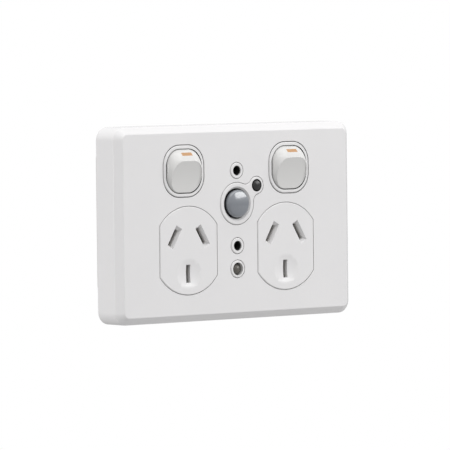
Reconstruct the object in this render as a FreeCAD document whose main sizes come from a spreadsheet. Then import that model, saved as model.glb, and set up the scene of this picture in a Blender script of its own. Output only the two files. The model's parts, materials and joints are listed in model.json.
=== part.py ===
import FreeCAD, Part
import math
import os

import Sketcher

Vector = FreeCAD.Vector
Rotation = FreeCAD.Rotation

doc = FreeCAD.newDocument("RcdDoubleSocket")
sheet = doc.addObject("Spreadsheet::Sheet", "Sizes")
subparts = []


# The driving sizes, in millimetres and degrees.
# X runs to the right, Z up, and Y from the face into the wall, whose surface is y = 0.
SIZES = {
    # Cover plate
    "plate_width": 116,
    "plate_height": 76,
    "plate_depth": 14.1,
    "plate_corner": 5,
    "cover_wall": 2.2,
    "cover_face": 1.6,
    "raised_proud": 0.2,
    "bevel_across": 2.73,
    "bevel_deep": 2.68,
    "bevel_softness": 0.5,
    "cover_lift": 0.3,
    "cover_slip": 0.2,
    "switch_slip": 0.3,
    "cover_lead": 1.3,
    "clip_width": 8,
    "clip_thick": 1.4,
    "clip_reach": 8,
    "clip_inset": 7,
    "clip_top_inset": 5.8,
    # Front moulding
    "grid_slip": 0.3,
    "grid_wall": 1.8,
    "deck_gap": 0.2,
    "deck_thick": 2.2,
    "lip_softness": 0.3,
    "fixing_pitch": 84,
    "fixing_radius": 2.25,
    "fixing_head": 4.2,
    "fixing_boss": 5.2,
    "fixing_floor": 4,
    "post_radius": 1.6,
    "post_across": 13.5,
    "post_inset": 3.6,
    # Outlet faces and their pin slots
    "outlet_across": 24.1,
    "outlet_drop": 10.3,
    "outlet_radius": 17.1,
    "outlet_flat": 14,
    "pin_half": 6.86,
    "pin_drop": 4.95,
    "earth_below": 14.27,
    "pin_tilt": 30,
    "slot_long": 7,
    "slot_wide": 1.95,
    "earth_slot_wide": 2.05,
    "funnel_long": 9.1,
    "funnel_wide": 3.1,
    "funnel_deep": 1.6,
    "relief_long": 7.2,
    "relief_wide": 3.1,
    "pin_wall": 2.6,
    "earth_wall": 2,
    "dish_radius": 6.3,
    "dish_deep": 0.8,
    # Switches
    "switch_across": 26.05,
    "switch_up": 20.5,
    "surround_width": 19.6,
    "surround_height": 19.9,
    "surround_corner": 7.7,
    "pivot_behind": 5.41,
    "rocker_half": 8.4,
    "rocker_reach": 9.9,
    "rocker_straight": 2.2,
    "rocker_side_reach": 5.65,
    "rocker_face": 7.57,
    "rocker_back": 1,
    "rocker_roof": 2.1,
    "rocker_hollow_across": 6.2,
    "rocker_hollow_up": 5.6,
    "rocker_tilt": 16,
    "rocker_softness": 0.5,
    "rocker_slip": 0.35,
    "rocker_overcut": 1,
    "well_sweep": 230,
    "trunnion_radius": 1.4,
    "trunnion_long": 1.6,
    "bearing_slip": 0.05,
    "cheek_thick": 1.8,
    "cheek_half": 3.6,
    "cheek_drop": 4.4,
    "mark_long": 5,
    "mark_angle": 32,
    "mark_span": 9.4,
    "mark_deep": 0.4,
    "plunger_radius": 1.6,
    "plunger_tip": 8.45,
    "plunger_top": 1.5,
    "plunger_tube": 2.6,
    "tube_end": 3.5,
    "tube_floor": 3,
    "throw": 12,
    "arm_long": 5.2,
    "arm_wide": 5,
    "arm_thick": 0.8,
    "seesaw_depth": 0.8,
    "rivet_out": 4.3,
    "rivet_radius": 1.2,
    "rivet_tall": 0.8,
    "contact_gap": 0.1,
    "knife_gap": 0.15,
    # Reset and test buttons
    "reset_up": 7.1,
    "reset_ring": 8.2,
    "reset_hole": 5.95,
    "reset_lead": 0.75,
    "reset_radius": 5.4,
    "reset_proud": 1.95,
    "reset_round": 1.2,
    "test_across": 9.75,
    "test_up": 13.95,
    "test_ring": 3.4,
    "test_hole": 2.45,
    "test_radius": 2,
    "test_round": 0.45,
    "test_proud": 0.6,
    "blend_radius": 3,
    "flange_gap": 0.2,
    "flange_wide": 0.55,
    "flange_thick": 1.3,
    "stem_radius": 2.2,
    "stem_slip": 0.08,
    "tail_radius": 1.2,
    "tail_long": 0.6,
    "leaf_blade": 0.3,
    "leaf_strip": 3,
    "leaf_foot": 2,
    "leaf_down": 5.9,
    "leaf_head": 0.6,
    # Lamps
    "lamp_upper": 20,
    "lamp_middle": 9.3,
    "lamp_lower": 18.35,
    "lamp_hole": 1.95,
    "lamp_ring": 3.1,
    "lamp_radius": 1.5,
    "lamp_sunk": 3.1,
    "lens_hole": 2.5,
    "lens_ring": 3.4,
    "lens_radius": 2.35,
    "lens_sunk": 0.15,
    "lamp_foot": 6,
    "holder_sunk": 0.5,
    "holder_slip": 0.1,
    "holder_bore": 1.6,
    "lead_radius": 0.25,
    "lead_pitch": 1.27,
    "lead_past": 0.6,
    "lead_slip": 0.1,
    # Indicator board behind the front
    "board_thick": 1.6,
    "front_board_half": 11.5,
    "front_board_top_inset": 2.6,
    "front_board_bottom_inset": 6,
    "front_board_depth": 4.6,
    "board_hole": 4.2,
    "foot_across": 8,
    "foot_down": 15,
    "foot_top_across": 6,
    "foot_top_inset": 4,
    "foot_radius": 1.3,
    # Rear housing
    "housing_width": 72,
    "housing_height": 56,
    "housing_corner": 3,
    "housing_wall": 1.8,
    "housing_nose": 3,
    "housing_depth": 30,
    "housing_softness": 1,
    "ear_across": 10,
    "ear_rise": 2.6,
    "ear_radius": 2.7,
    "ear_thick": 1.8,
    "screw_radius": 1.3,
    "screw_slip": 0.25,
    "screw_bite": 5.5,
    "screw_spare": 0.5,
    "screw_head": 2.4,
    "screw_head_tall": 1.1,
    "screw_boss": 2.8,
    "screw_softness": 0.3,
    "driver_slot_long": 3,
    "driver_slot_wide": 0.7,
    "driver_slot_deep": 0.6,
    "ledge_thick": 1.6,
    "ledge_long": 6,
    "ledge_across": 21.84,
    # Contact carrier and the pin contacts
    "carrier_depth": 3,
    "carrier_thick": 2,
    "carrier_slip": 0.3,
    "strip_thick": 0.8,
    "leaf_thick": 0.6,
    "leaf_wide": 6,
    "leaf_gap": 1.5,
    "leaf_front_gap": 0.9,
    "clip_base": 3.4,
    "neutral_line": 11.5,
    "neutral_band": 2,
    "neutral_end": 1.34,
    "earth_band": 3,
    "strip_wide": 2.6,
    "strip_inside": 1.24,
    "strip_outside": 1.36,
    "column_aside": 3.85,
    "head_above": 5.5,
    "head_tall": 2.4,
    "head_past": 1.65,
    "cross_line": 2.5,
    "earth_tab_below": 3.78,
    "earth_tab_half": 1.5,
    "earth_notch": 0.5,
    "earth_notch_deep": 0.6,
    "earth_end": 1.9,
    "feed_low": 19,
    "feed_high": 22,
    "knife_root": 1.45,
    "knife_edge": 0.35,
    "knife_half": 2,
    # Terminals
    "terminal_pitch": 14,
    "terminal_width": 9,
    "terminal_deep": 10,
    "terminal_tall": 9,
    "terminal_front": 13,
    "wire_depth": 17,
    "wire_radius": 2.3,
    "entry_radius": 3,
    "thread_radius": 2,
    "thread_slip": 0.05,
    "terminal_softness": 0.5,
    "terminal_screw_head": 2.3,
    "terminal_screw_gap": 0.2,
    "terminal_screw_neck": 2.4,
    "terminal_head_tall": 1.6,
    "terminal_slot_long": 5,
    "terminal_slot_wide": 0.8,
    "terminal_slot_deep": 0.9,
    "driver_hole": 2.7,
    # Contact carriage and its contacts
    "base_front": 12.2,
    "base_thick": 1.8,
    "base_half": 19,
    "base_top_inset": 5,
    "base_bottom": 14,
    "base_post_across": 17.2,
    "base_post_top": 20.5,
    "base_post_bottom": 11,
    "bridge_across": 9,
    "bridge_half": 9.3,
    "bridge_wide": 3.2,
    "main_rivet_out": 7.7,
    "main_rivet": 1.3,
    "main_rivet_tall": 0.9,
    "fixed_rivet_tall": 0.7,
    "carriage_front": 5.3,
    "carriage_thick": 1.3,
    "carriage_half": 11,
    "carriage_band": 10,
    "carriage_arm": 2.5,
    "spring_room": 1.4,
    "hub_radius": 3.5,
    "armature_radius": 5.2,
    "armature_front": 9.7,
    "armature_thick": 1.2,
    "armature_slip": 0.4,
    "guide_radius": 0.8,
    "guide_slip": 0.08,
    "guide_across": 6.2,
    "guide_up": 3.5,
    "carriage_spring_out": 7.7,
    "bar_wide": 2.4,
    "bar_inner": 1,
    "bar_turn": 5.6,
    "bar_step": 2.2,
    "bar_end": 1.6,
    "bar_tail": 1,
    "bar_stem": 2,
    "bar_leg_half": 1.5,
    "return_inner": 12.6,
    "return_outer": 15.4,
    "tab_slip": 0.2,
    "fixed_rivet_wider": 0.1,
    # Holding magnet
    "pole_radius": 2.5,
    "pole_front": 13.3,
    "bobbin_bore_slip": 0.1,
    "bobbin_tube": 3.6,
    "bobbin_flange": 7.2,
    "bobbin_flange_thick": 1,
    "winding_radius": 6.6,
    "yoke_half": 5,
    "yoke_thick": 0.9,
    "yoke_gap": 0.3,
    # Balance transformer
    "sensor_down": 9.5,
    "sensor_front": 14.1,
    "sensor_thick": 7.4,
    "sensor_hole": 3.7,
    "sensor_radius": 7.5,
    "sensor_wrap": 0.7,
    "sensor_room": 0.5,
    "sensor_turn": 300,
    "rear_bar_depth": 21.9,
    # Control board
    "control_depth": 25.8,
    "control_half": 30,
    "control_top": 17,
    "control_bottom": 13,
    "control_post": 1.5,
    "control_post_across": 28,
    "control_post_inset": 2,
    # Parts on the control board
    "capacitor_tall": 9,
    "capacitor_out": 30,
    "capacitor_width": 10,
    "capacitor_low": 3,
    "capacitor_high": 9,
    "capacitor_softness": 0.8,
    "varistor_tall": 4.8,
    "varistor_across": 25,
    "varistor_up": 6,
    "varistor_radius": 5,
    "chip_tall": 1.6,
    "chip_across": 11,
    "chip_wide": 6,
    "chip_down": 5.5,
    "chip_long": 5,
    "resistor_radius": 1.3,
    "resistor_up": 13,
    "resistor_across": 9.5,
    "resistor_long": 7,
    # Springs
    "spring_wire": 0.5,
    "reset_spring_radius": 3.2,
    "small_spring_radius": 1.2,
    "spring_seat": 0.05,
}


class Dim:
    """A size that knows its number and the sheet's expression for it."""

    def __init__(self, number, text=None):
        self.number = float(number)
        self.text = text if text is not None else repr(float(number))

    def joined(self, other, sign, number):
        return Dim(number, "(%s %s %s)" % (self.text, sign, dim(other).text))

    def __add__(self, other):
        return self.joined(other, "+", self.number + dim(other).number)

    def __radd__(self, other):
        return dim(other) + self

    def __sub__(self, other):
        return self.joined(other, "-", self.number - dim(other).number)

    def __rsub__(self, other):
        return dim(other) - self

    def __mul__(self, other):
        return self.joined(other, "*", self.number * dim(other).number)

    def __rmul__(self, other):
        return dim(other) * self

    def __truediv__(self, other):
        return self.joined(other, "/", self.number / dim(other).number)

    def __neg__(self):
        return Dim(-self.number, "(0 - %s)" % self.text)


def dim(value):
    return value if isinstance(value, Dim) else Dim(value)


def root(value):
    value = dim(value)
    return Dim(math.sqrt(value.number), "sqrt(%s)" % value.text)


def sine(degrees):
    degrees = dim(degrees)
    return Dim(math.sin(math.radians(degrees.number)), "sin(%s * 1deg)" % degrees.text)


def cosine(degrees):
    degrees = dim(degrees)
    return Dim(math.cos(math.radians(degrees.number)), "cos(%s * 1deg)" % degrees.text)


def square(value):
    return value * value


def write_sheet():
    """Put every size on a row of its own, under its alias."""
    sizes = {}
    for row, (alias, number) in enumerate(SIZES.items(), 1):
        sheet.set("A%d" % row, alias)
        sheet.set("B%d" % row, str(number))
        sheet.setAlias("B%d" % row, alias)
        sizes[alias] = Dim(number, "Sizes." + alias)
    doc.recompute()
    return sizes


class Sizes:
    """Lets a size be written as S.plate_width."""

    def __init__(self, sizes):
        self.__dict__.update(sizes)


S = Sizes(write_sheet())


# Sketch outlines. Each takes the sketch and sizes across and up in its plane.
def pin_point(sketch, geometry, position, x, y):
    """Hold one point of the outline at its place from the origin."""
    for kind, value in (("DistanceX", x), ("DistanceY", y)):
        index = sketch.addConstraint(
            Sketcher.Constraint(kind, -1, 1, geometry, position, value.number)
        )
        sketch.setExpression("Constraints[%d]" % index, value.text)


def outline(sketch, points, arcs=None):
    """A closed outline. arcs gives, for the side after a point, its radius and turn.

    A turn of 1 bulges to the right of the way the outline runs, and -1 to the left.
    """
    arcs = arcs or {}
    points = [(dim(x), dim(y)) for x, y in points]
    ends = []
    for index, start in enumerate(points):
        stop = points[(index + 1) % len(points)]
        a = Vector(start[0].number, start[1].number, 0)
        b = Vector(stop[0].number, stop[1].number, 0)
        if index not in arcs:
            ends.append((sketch.addGeometry(Part.LineSegment(a, b)), 1, 2))
            continue
        radius, turn = arcs[index]
        radius = dim(radius)
        half = (b - a) / 2
        rise = math.sqrt(max(radius.number**2 - half.Length**2, 0))
        left = Vector(-half.y, half.x, 0).normalize()
        centre = a + half + left * (rise * turn)
        circle = Part.Circle(centre, Vector(0, 0, 1), radius.number)
        first, last = (a, b) if turn > 0 else (b, a)
        begin = math.atan2(first.y - centre.y, first.x - centre.x)
        finish = math.atan2(last.y - centre.y, last.x - centre.x)
        if finish <= begin:
            finish += 2 * math.pi
        made = sketch.addGeometry(Part.ArcOfCircle(circle, begin, finish))
        ends.append((made, 1, 2) if turn > 0 else (made, 2, 1))
        index_r = sketch.addConstraint(Sketcher.Constraint("Radius", made, radius.number))
        sketch.setExpression("Constraints[%d]" % index_r, radius.text)
    for index, (x, y) in enumerate(points):
        made, begin, _ = ends[index]
        before, _, finish = ends[index - 1]
        sketch.addConstraint(Sketcher.Constraint("Coincident", before, finish, made, begin))
        pin_point(sketch, made, begin, x, y)


def disc(sketch, x, y, radius):
    x, y, radius = dim(x), dim(y), dim(radius)
    centre = Vector(x.number, y.number, 0)
    made = sketch.addGeometry(Part.Circle(centre, Vector(0, 0, 1), radius.number))
    index = sketch.addConstraint(Sketcher.Constraint("Radius", made, radius.number))
    sketch.setExpression("Constraints[%d]" % index, radius.text)
    pin_point(sketch, made, 3, x, y)


def rectangle(sketch, left, right, low, high):
    outline(sketch, [(left, low), (right, low), (right, high), (left, high)])


def rounded(sketch, x, y, width, height, corner):
    """A rectangle about (x, y) with round corners."""
    w, h = dim(width) / 2, dim(height) / 2
    points = [
        (x - w + corner, y - h),
        (x + w - corner, y - h),
        (x + w, y - h + corner),
        (x + w, y + h - corner),
        (x + w - corner, y + h),
        (x - w + corner, y + h),
        (x - w, y + h - corner),
        (x - w, y - h + corner),
    ]
    outline(sketch, points, {k: (corner, 1) for k in (1, 3, 5, 7)})


def tilted(sketch, x, y, wide, tall, degrees, shift=0):
    """A rectangle turned clockwise by degrees, moved along its own width by shift."""
    c, s = cosine(degrees), sine(degrees)
    corners = [(-1, -1), (1, -1), (1, 1), (-1, 1)]
    points = []
    for i, j in corners:
        u = dim(shift) + dim(wide) / 2 * i
        v = dim(tall) / 2 * j
        points.append((x + u * c + v * s, y - u * s + v * c))
    outline(sketch, points)


# The way a plane's normal points along its own axis, and the three planes.
PLANES = {"XZ_Plane": -1, "YZ_Plane": 1, "XY_Plane": 1}


def new_body(label):
    body = doc.addObject("PartDesign::Body", label)
    body.Label = label
    subparts.append(body)
    return body


def new_sketch(body, name, plane, start):
    """A sketch parallel to one of the body's planes, start away from it."""
    start = dim(start)
    sketch = body.newObject("Sketcher::SketchObject", name)
    origin = next(f for f in body.Origin.OriginFeatures if f.Role == plane)
    sketch.AttachmentSupport = [(origin, "")]
    sketch.MapMode = "FlatFace"
    offset = start * PLANES[plane]
    sketch.AttachmentOffset = FreeCAD.Placement(Vector(0, 0, offset.number), Rotation())
    sketch.setExpression("AttachmentOffset.Base.z", offset.text)
    return sketch


def extrude(body, name, kind, plane, start, end, *shapes):
    """Pad or pocket outlines from start to end along the plane's axis."""
    sketch = new_sketch(body, name + "Sketch", plane, start)
    for shape in shapes:
        shape[0](sketch, *shape[1:])
    span = (dim(end) - start) * PLANES[plane]
    forward = span.number > 0
    feature = body.newObject("PartDesign::" + kind, name)
    feature.Profile = sketch
    length = span if forward else -span
    feature.Length = length.number
    feature.setExpression("Length", length.text)
    feature.Reversed = forward if kind == "Pocket" else not forward
    sketch.Visibility = False
    body.Tip = feature
    return feature


def pad(body, name, plane, start, end, *shapes):
    return extrude(body, name, "Pad", plane, start, end, *shapes)


def cut(body, name, plane, start, end, *shapes):
    return extrude(body, name, "Pocket", plane, start, end, *shapes)


def turn(body, name, kind, plane, axis, start, *shapes, degrees=360):
    """Revolve outlines about the sketch's own H_Axis or V_Axis."""
    sketch = new_sketch(body, name + "Sketch", plane, start)
    for shape in shapes:
        shape[0](sketch, *shape[1:])
    feature = body.newObject("PartDesign::" + kind, name)
    feature.Profile = sketch
    feature.ReferenceAxis = (sketch, [axis])
    degrees = dim(degrees)
    feature.Angle = degrees.number
    feature.setExpression("Angle", degrees.text)
    sketch.Visibility = False
    body.Tip = feature
    return feature


def soften(body, name, radius, chosen, kind="Fillet", second=None):
    """Fillet or chamfer the edges of the body that chosen picks."""
    doc.recompute()
    tip = body.Tip
    edges = ["Edge%d" % n for n, e in enumerate(tip.Shape.Edges, 1) if chosen(e)]
    feature = body.newObject("PartDesign::" + kind, name)
    feature.Base = (tip, edges)
    radius = dim(radius)
    if kind == "Fillet":
        feature.Radius = radius.number
        feature.setExpression("Radius", radius.text)
    else:
        feature.ChamferType = "Two distances"
        feature.Size = radius.number
        feature.setExpression("Size", radius.text)
        feature.Size2 = second.number
        feature.setExpression("Size2", second.text)
    body.Tip = feature
    return feature


def move(thing, x=0, y=0, z=0, axis=None, degrees=0):
    """Put a sub-part in its place, turned about an axis through its own origin."""
    x, y, z, degrees = dim(x), dim(y), dim(z), dim(degrees)
    turned = Rotation(axis or Vector(1, 0, 0), degrees.number)
    thing.Placement = FreeCAD.Placement(Vector(x.number, y.number, z.number), turned)
    for name, value in (("x", x), ("y", y), ("z", z)):
        thing.setExpression("Placement.Base." + name, value.text)
    if axis is not None:
        thing.setExpression("Placement.Rotation.Angle", degrees.text + " * 1deg")
    return thing


def at_depth(edge, depth):
    """True where the whole edge lies at this depth."""
    box = edge.BoundBox
    return abs(box.YMin - depth.number) < 0.01 and abs(box.YMax - depth.number) < 0.01


def edges_at(*depths):
    """Picks the edges that lie at any of these depths."""
    depths = [dim(depth) for depth in depths]
    return lambda edge: any(at_depth(edge, depth) for depth in depths)


def rim_of_the_reset_hole(edge):
    """True for the circle where the hole of the reset button meets the face."""
    round_it = abs(edge.Length - 2 * math.pi * S.reset_hole.number) < 0.01
    return at_depth(edge, face_y) and round_it


# Depths that several pieces share. y is negative in front of the wall.
face_y = -S.plate_depth
cover_y = face_y + S.raised_proud
inner_face = cover_y + S.cover_face
deck_front = inner_face + S.deck_gap
deck_back = deck_front + S.deck_thick
grid_width = S.plate_width - S.cover_wall * 2 - S.grid_slip * 2
grid_height = S.plate_height - S.cover_wall * 2 - S.grid_slip * 2
grid_corner = S.plate_corner - S.cover_wall - S.grid_slip
fixing_x = S.fixing_pitch / 2
outlet_z = -S.outlet_drop
pin_z = -S.pin_drop
earth_z = pin_z - S.earth_below
pivot_y = face_y + S.pivot_behind
SIDES = (("left", -1), ("right", 1))
housing_half = S.housing_height / 2


def four_places(x, z):
    """The four corners of a rectangle about the middle."""
    return [(x * side, z * rise) for _, side in SIDES for _, rise in SIDES]


ear_places = four_places(S.ear_across, housing_half + S.ear_rise)
post_places = four_places(S.post_across, housing_half - S.post_inset)


# Outlines of the raised parts that show through the cover, grown by slip.
def outlet_outline(sketch, x, grow):
    flat, radius = S.outlet_flat + grow, S.outlet_radius + grow
    rise = root(square(radius) - square(flat))
    points = [
        (x - flat, outlet_z - rise),
        (x + flat, outlet_z - rise),
        (x + flat, outlet_z + rise),
        (x - flat, outlet_z + rise),
    ]
    outline(sketch, points, {0: (radius, 1), 2: (radius, 1)})


def surround_outline(sketch, x, grow):
    rounded(
        sketch,
        x,
        S.switch_up,
        S.surround_width + grow * 2,
        S.surround_height + grow * 2,
        S.surround_corner + grow,
    )


def buttons_outline(sketch, grow):
    """The ring round the reset button, run into the smaller ring round the test button."""
    big, small = S.reset_ring + grow, S.test_ring + grow
    blend = S.blend_radius - grow
    dx, dz = S.test_across, S.test_up - S.reset_up
    apart = root(square(dx) + square(dz))
    along = (square(big + blend) - square(small + blend) + square(apart)) / (apart * 2)
    aside = root(square(big + blend) - square(along))
    touches = {}
    for side in (1, -1):
        bx = dx * along / apart - dz * aside * side / apart
        bz = dz * along / apart + dx * aside * side / apart
        touches[side] = (
            (bx * big / (big + blend), S.reset_up + bz * big / (big + blend)),
            (
                S.test_across + (bx - dx) * small / (small + blend),
                S.test_up + (bz - dz) * small / (small + blend),
            ),
        )
    tip = (S.test_across + dx * small / apart, S.test_up + dz * small / apart)
    far_left = (-big, S.reset_up)
    far_low = (dim(0), S.reset_up - big)
    points = [*touches[-1], tip, *reversed(touches[1]), far_left, far_low]
    arcs = {0: (blend, -1), 1: (small, 1), 2: (small, 1), 3: (blend, -1)}
    arcs.update({4: (big, 1), 5: (big, 1), 6: (big, 1)})
    outline(sketch, points, arcs)


def lamp_outlines(grow):
    return [
        (disc, 0, S.lamp_upper, S.lamp_ring + grow),
        (disc, 0, -S.lamp_middle, S.lamp_ring + grow),
        (disc, 0, -S.lamp_lower, S.lens_ring + grow),
    ]


def raised_outlines(grow, switch_grow):
    shapes = lamp_outlines(grow)
    shapes.append((buttons_outline, grow))
    for _, side in SIDES:
        shapes.append((outlet_outline, S.outlet_across * side, grow))
        shapes.append((surround_outline, S.switch_across * side, switch_grow))
    return shapes


# The four push-in clips of the cover, as centre and size in the plane of the wall.
def clip_outlines(grow):
    across = S.plate_width / 2 - S.clip_inset
    up = S.plate_height / 2 - S.clip_top_inset
    long, thin = S.clip_width / 2 + grow, S.clip_thick / 2 + grow
    shapes = []
    for _, side in SIDES:
        x = across * side
        shapes.append((rectangle, x - thin, x + thin, -long, long))
        z = up * side
        shapes.append((rectangle, -long, long, z - thin, z + thin))
    return shapes


# Cover plate: a thin white shell with a bevelled front edge, which clips over the front moulding.
# A lead-in behind each switch opening finds the surround, and clears the rocker.
def rear_rim_of_a_switch(edge):
    """True for an edge of the cover's inner face that lies about either switch."""
    centre = edge.CenterOfMass
    across = abs(abs(centre.x) - S.switch_across.number)
    up = abs(centre.z - S.switch_up.number)
    return at_depth(edge, inner_face) and max(across, up) < S.surround_height.number * 0.55


def make_cover_plate():
    body = new_body("cover_plate")
    rear = -S.cover_lift
    block = (rounded, dim(0), dim(0), S.plate_width, S.plate_height, S.plate_corner)
    pad(body, "CoverBlock", "XZ_Plane", rear, cover_y, block)
    rim = edges_at(cover_y)
    soften(body, "CoverBevel", S.bevel_deep, rim, "Chamfer", S.bevel_across)
    ridges = edges_at(cover_y, cover_y + S.bevel_deep)
    soften(body, "CoverSoftEdges", S.bevel_softness, ridges)
    hollow = (
        rounded,
        dim(0),
        dim(0),
        S.plate_width - S.cover_wall * 2,
        S.plate_height - S.cover_wall * 2,
        S.plate_corner - S.cover_wall,
    )
    cut(body, "CoverHollow", "XZ_Plane", rear, inner_face, hollow)
    openings = raised_outlines(S.cover_slip, S.switch_slip)
    cut(body, "CoverOpenings", "XZ_Plane", face_y, inner_face, *openings)
    soften(body, "SwitchLeadIns", S.cover_lead, rear_rim_of_a_switch, "Chamfer", S.cover_lead)
    clips = clip_outlines(dim(0))
    pad(body, "CoverClips", "XZ_Plane", inner_face, inner_face + S.clip_reach, *clips)


def slot_funnel(body, name, x, z, wide, long, degrees):
    """A lead-in that narrows from the face to the slot."""
    sketches = []
    for index, (y, grow) in enumerate(((face_y, 1), (face_y + S.funnel_deep, 0))):
        sketch = new_sketch(body, "%sRing%d" % (name, index), "XZ_Plane", y)
        w = S.funnel_wide if grow else wide
        t = S.funnel_long if grow else long
        tilted(sketch, x, z, w, t, degrees)
        sketch.Visibility = False
        sketches.append(sketch)
    loft = body.newObject("PartDesign::SubtractiveLoft", name)
    loft.Profile = sketches[0]
    loft.Sections = [sketches[1]]
    loft.Ruled = True
    body.Tip = loft


def drum_outline(sketch, slip, facing):
    """Half the section of the drum that a rocker sweeps, on the facing side of its axis."""
    half, reach = S.rocker_half + slip, S.rocker_reach + slip
    side = S.rocker_side_reach + slip
    run = half - S.rocker_straight
    fall = reach - side
    radius = (square(run) + square(fall)) / (fall * 2)
    points = [
        (-half, dim(0)),
        (half, dim(0)),
        (half, side * facing),
        (S.rocker_straight, reach * facing),
        (-S.rocker_straight, reach * facing),
        (-half, side * facing),
    ]
    outline(sketch, points, {2: (radius, facing), 4: (radius, facing)})


# Front moulding: the deck behind the cover, with everything that shows through it.
def make_front_moulding():
    body = new_body("front_moulding")
    block = (rounded, dim(0), dim(0), grid_width, grid_height, grid_corner)
    pad(body, "GridBlock", "XZ_Plane", 0, deck_front, block)
    hollow = (
        rounded,
        dim(0),
        dim(0),
        grid_width - S.grid_wall * 2,
        grid_height - S.grid_wall * 2,
        grid_corner - S.grid_wall,
    )
    cut(body, "GridHollow", "XZ_Plane", 0, deck_back, hollow)
    into_deck = deck_back - S.deck_thick / 2

    raised_parts = raised_outlines(dim(0), dim(0))
    pad(body, "RaisedParts", "XZ_Plane", into_deck, face_y, *raised_parts)
    raised = edges_at(face_y)
    soften(body, "RaisedSoftEdges", S.lip_softness, raised, "Chamfer", S.lip_softness)

    bosses = [(disc, fixing_x * side, dim(0), S.fixing_boss) for _, side in SIDES]
    pad(body, "FixingBosses", "XZ_Plane", into_deck, 0, *bosses)

    wall_outer = (
        rounded,
        dim(0),
        dim(0),
        S.housing_width,
        S.housing_height,
        S.housing_corner,
    )
    wall_inner = (
        rounded,
        dim(0),
        dim(0),
        S.housing_width - S.housing_wall * 2,
        S.housing_height - S.housing_wall * 2,
        S.housing_corner - S.housing_wall,
    )
    nose = -S.housing_nose
    pad(body, "HousingSeat", "XZ_Plane", into_deck, nose, wall_outer, wall_inner)
    screw_bosses = [(disc, x, z, S.screw_boss) for x, z in ear_places]
    pad(body, "ScrewBosses", "XZ_Plane", into_deck, nose, *screw_bosses)
    long_posts = [(disc, x, z, S.post_radius) for x, z in post_places]
    pad(body, "CarrierPosts", "XZ_Plane", into_deck, S.carrier_depth, *long_posts)
    board_front = -S.front_board_depth
    pad(body, "BoardPosts", "XZ_Plane", into_deck, board_front, *board_feet())

    cheeks = []
    for _, side in SIDES:
        for _, hand in SIDES:
            near = S.switch_across * side + (S.rocker_half + S.rocker_slip) * hand
            far = near + S.cheek_thick * hand
            left, right = (near, far) if hand > 0 else (far, near)
            low, high = S.switch_up - S.cheek_half, S.switch_up + S.cheek_half
            cheeks.append((rectangle, left, right, low, high))
    pad(body, "RockerCheeks", "XZ_Plane", into_deck, deck_back + S.cheek_drop, *cheeks)

    for name, side in SIDES:
        x = S.switch_across * side
        shape = (drum_outline, S.rocker_slip, -1)
        well = turn(body, name + "Well", "Groove", "XY_Plane", "H_Axis", 0, shape)
        well.Midplane = True
        well.Angle = S.well_sweep.number
        well.setExpression("Angle", S.well_sweep.text)
        sketch = well.Profile[0]
        place = (("x", x), ("y", pivot_y), ("z", S.switch_up))
        numbers = Vector(*(value.number for _, value in place))
        sketch.AttachmentOffset = FreeCAD.Placement(numbers, Rotation())
        for letter, value in place:
            sketch.setExpression("AttachmentOffset.Base." + letter, value.text)
        half = S.rocker_half + S.rocker_slip
        skirt = S.rocker_side_reach + S.rocker_slip
        behind = S.rocker_back + skirt * sine(S.rocker_tilt) + S.rocker_slip
        room = (rectangle, x - half, x + half, S.switch_up - skirt, S.switch_up + skirt)
        cut(body, name + "WellBack", "XZ_Plane", pivot_y, pivot_y + behind, room)
        reach = half + S.cheek_thick
        bearing = (disc, pivot_y, S.switch_up, S.trunnion_radius + S.bearing_slip)
        cut(body, name + "Bearings", "YZ_Plane", x - reach, x + reach, bearing)

    through = [
        (disc, dim(0), S.reset_up, S.reset_hole),
        (disc, S.test_across, S.test_up, S.test_hole),
        (disc, dim(0), S.lamp_upper, S.lamp_hole),
        (disc, dim(0), -S.lamp_middle, S.lamp_hole),
        (disc, dim(0), -S.lamp_lower, S.lens_hole),
    ]
    cut(body, "ButtonAndLampHoles", "XZ_Plane", face_y, deck_back, *through)
    soften(body, "ResetLeadIn", S.reset_lead, rim_of_the_reset_hole, "Chamfer", S.reset_lead)

    dish = (square(S.dish_radius) + square(S.dish_deep)) / (S.dish_deep * 2)
    for name, side in SIDES:
        centre = S.outlet_across * side
        sphere = body.newObject("PartDesign::SubtractiveSphere", name + "EarthDish")
        sphere.Radius = dish.number
        sphere.setExpression("Radius", dish.text)
        place = (("x", centre), ("y", face_y + S.dish_deep - dish), ("z", earth_z))
        numbers = Vector(*(value.number for _, value in place))
        sphere.Placement = FreeCAD.Placement(numbers, Rotation())
        for letter, value in place:
            sphere.setExpression("Placement.Base." + letter, value.text)
        body.Tip = sphere
        slots = [(rectangle, *earth_slot(centre))]
        for hand, tilt in ((-1, S.pin_tilt), (1, -S.pin_tilt)):
            x = centre + S.pin_half * hand
            slots.append((tilted, x, pin_z, S.slot_wide, S.slot_long, tilt))
        cut(body, name + "PinSlots", "XZ_Plane", face_y, deck_back, *slots)
        reliefs = []
        for hand, tilt in ((-1, S.pin_tilt), (1, -S.pin_tilt)):
            x = centre + S.pin_half * hand
            reliefs.append((tilted, x, pin_z, S.relief_wide, S.relief_long, tilt))
        cut(body, name + "PinReliefs", "XZ_Plane", deck_back, face_y + S.pin_wall, *reliefs)
        relief = (tilted, centre, earth_z, S.relief_wide, S.relief_long, 0)
        cut(body, name + "EarthRelief", "XZ_Plane", deck_back, face_y + S.earth_wall, relief)
        for hand, tilt in ((-1, S.pin_tilt), (1, -S.pin_tilt)):
            x = centre + S.pin_half * hand
            label = "%sFunnel%d" % (name, hand + 1)
            slot_funnel(body, label, x, pin_z, S.slot_wide, S.slot_long, tilt)

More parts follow.
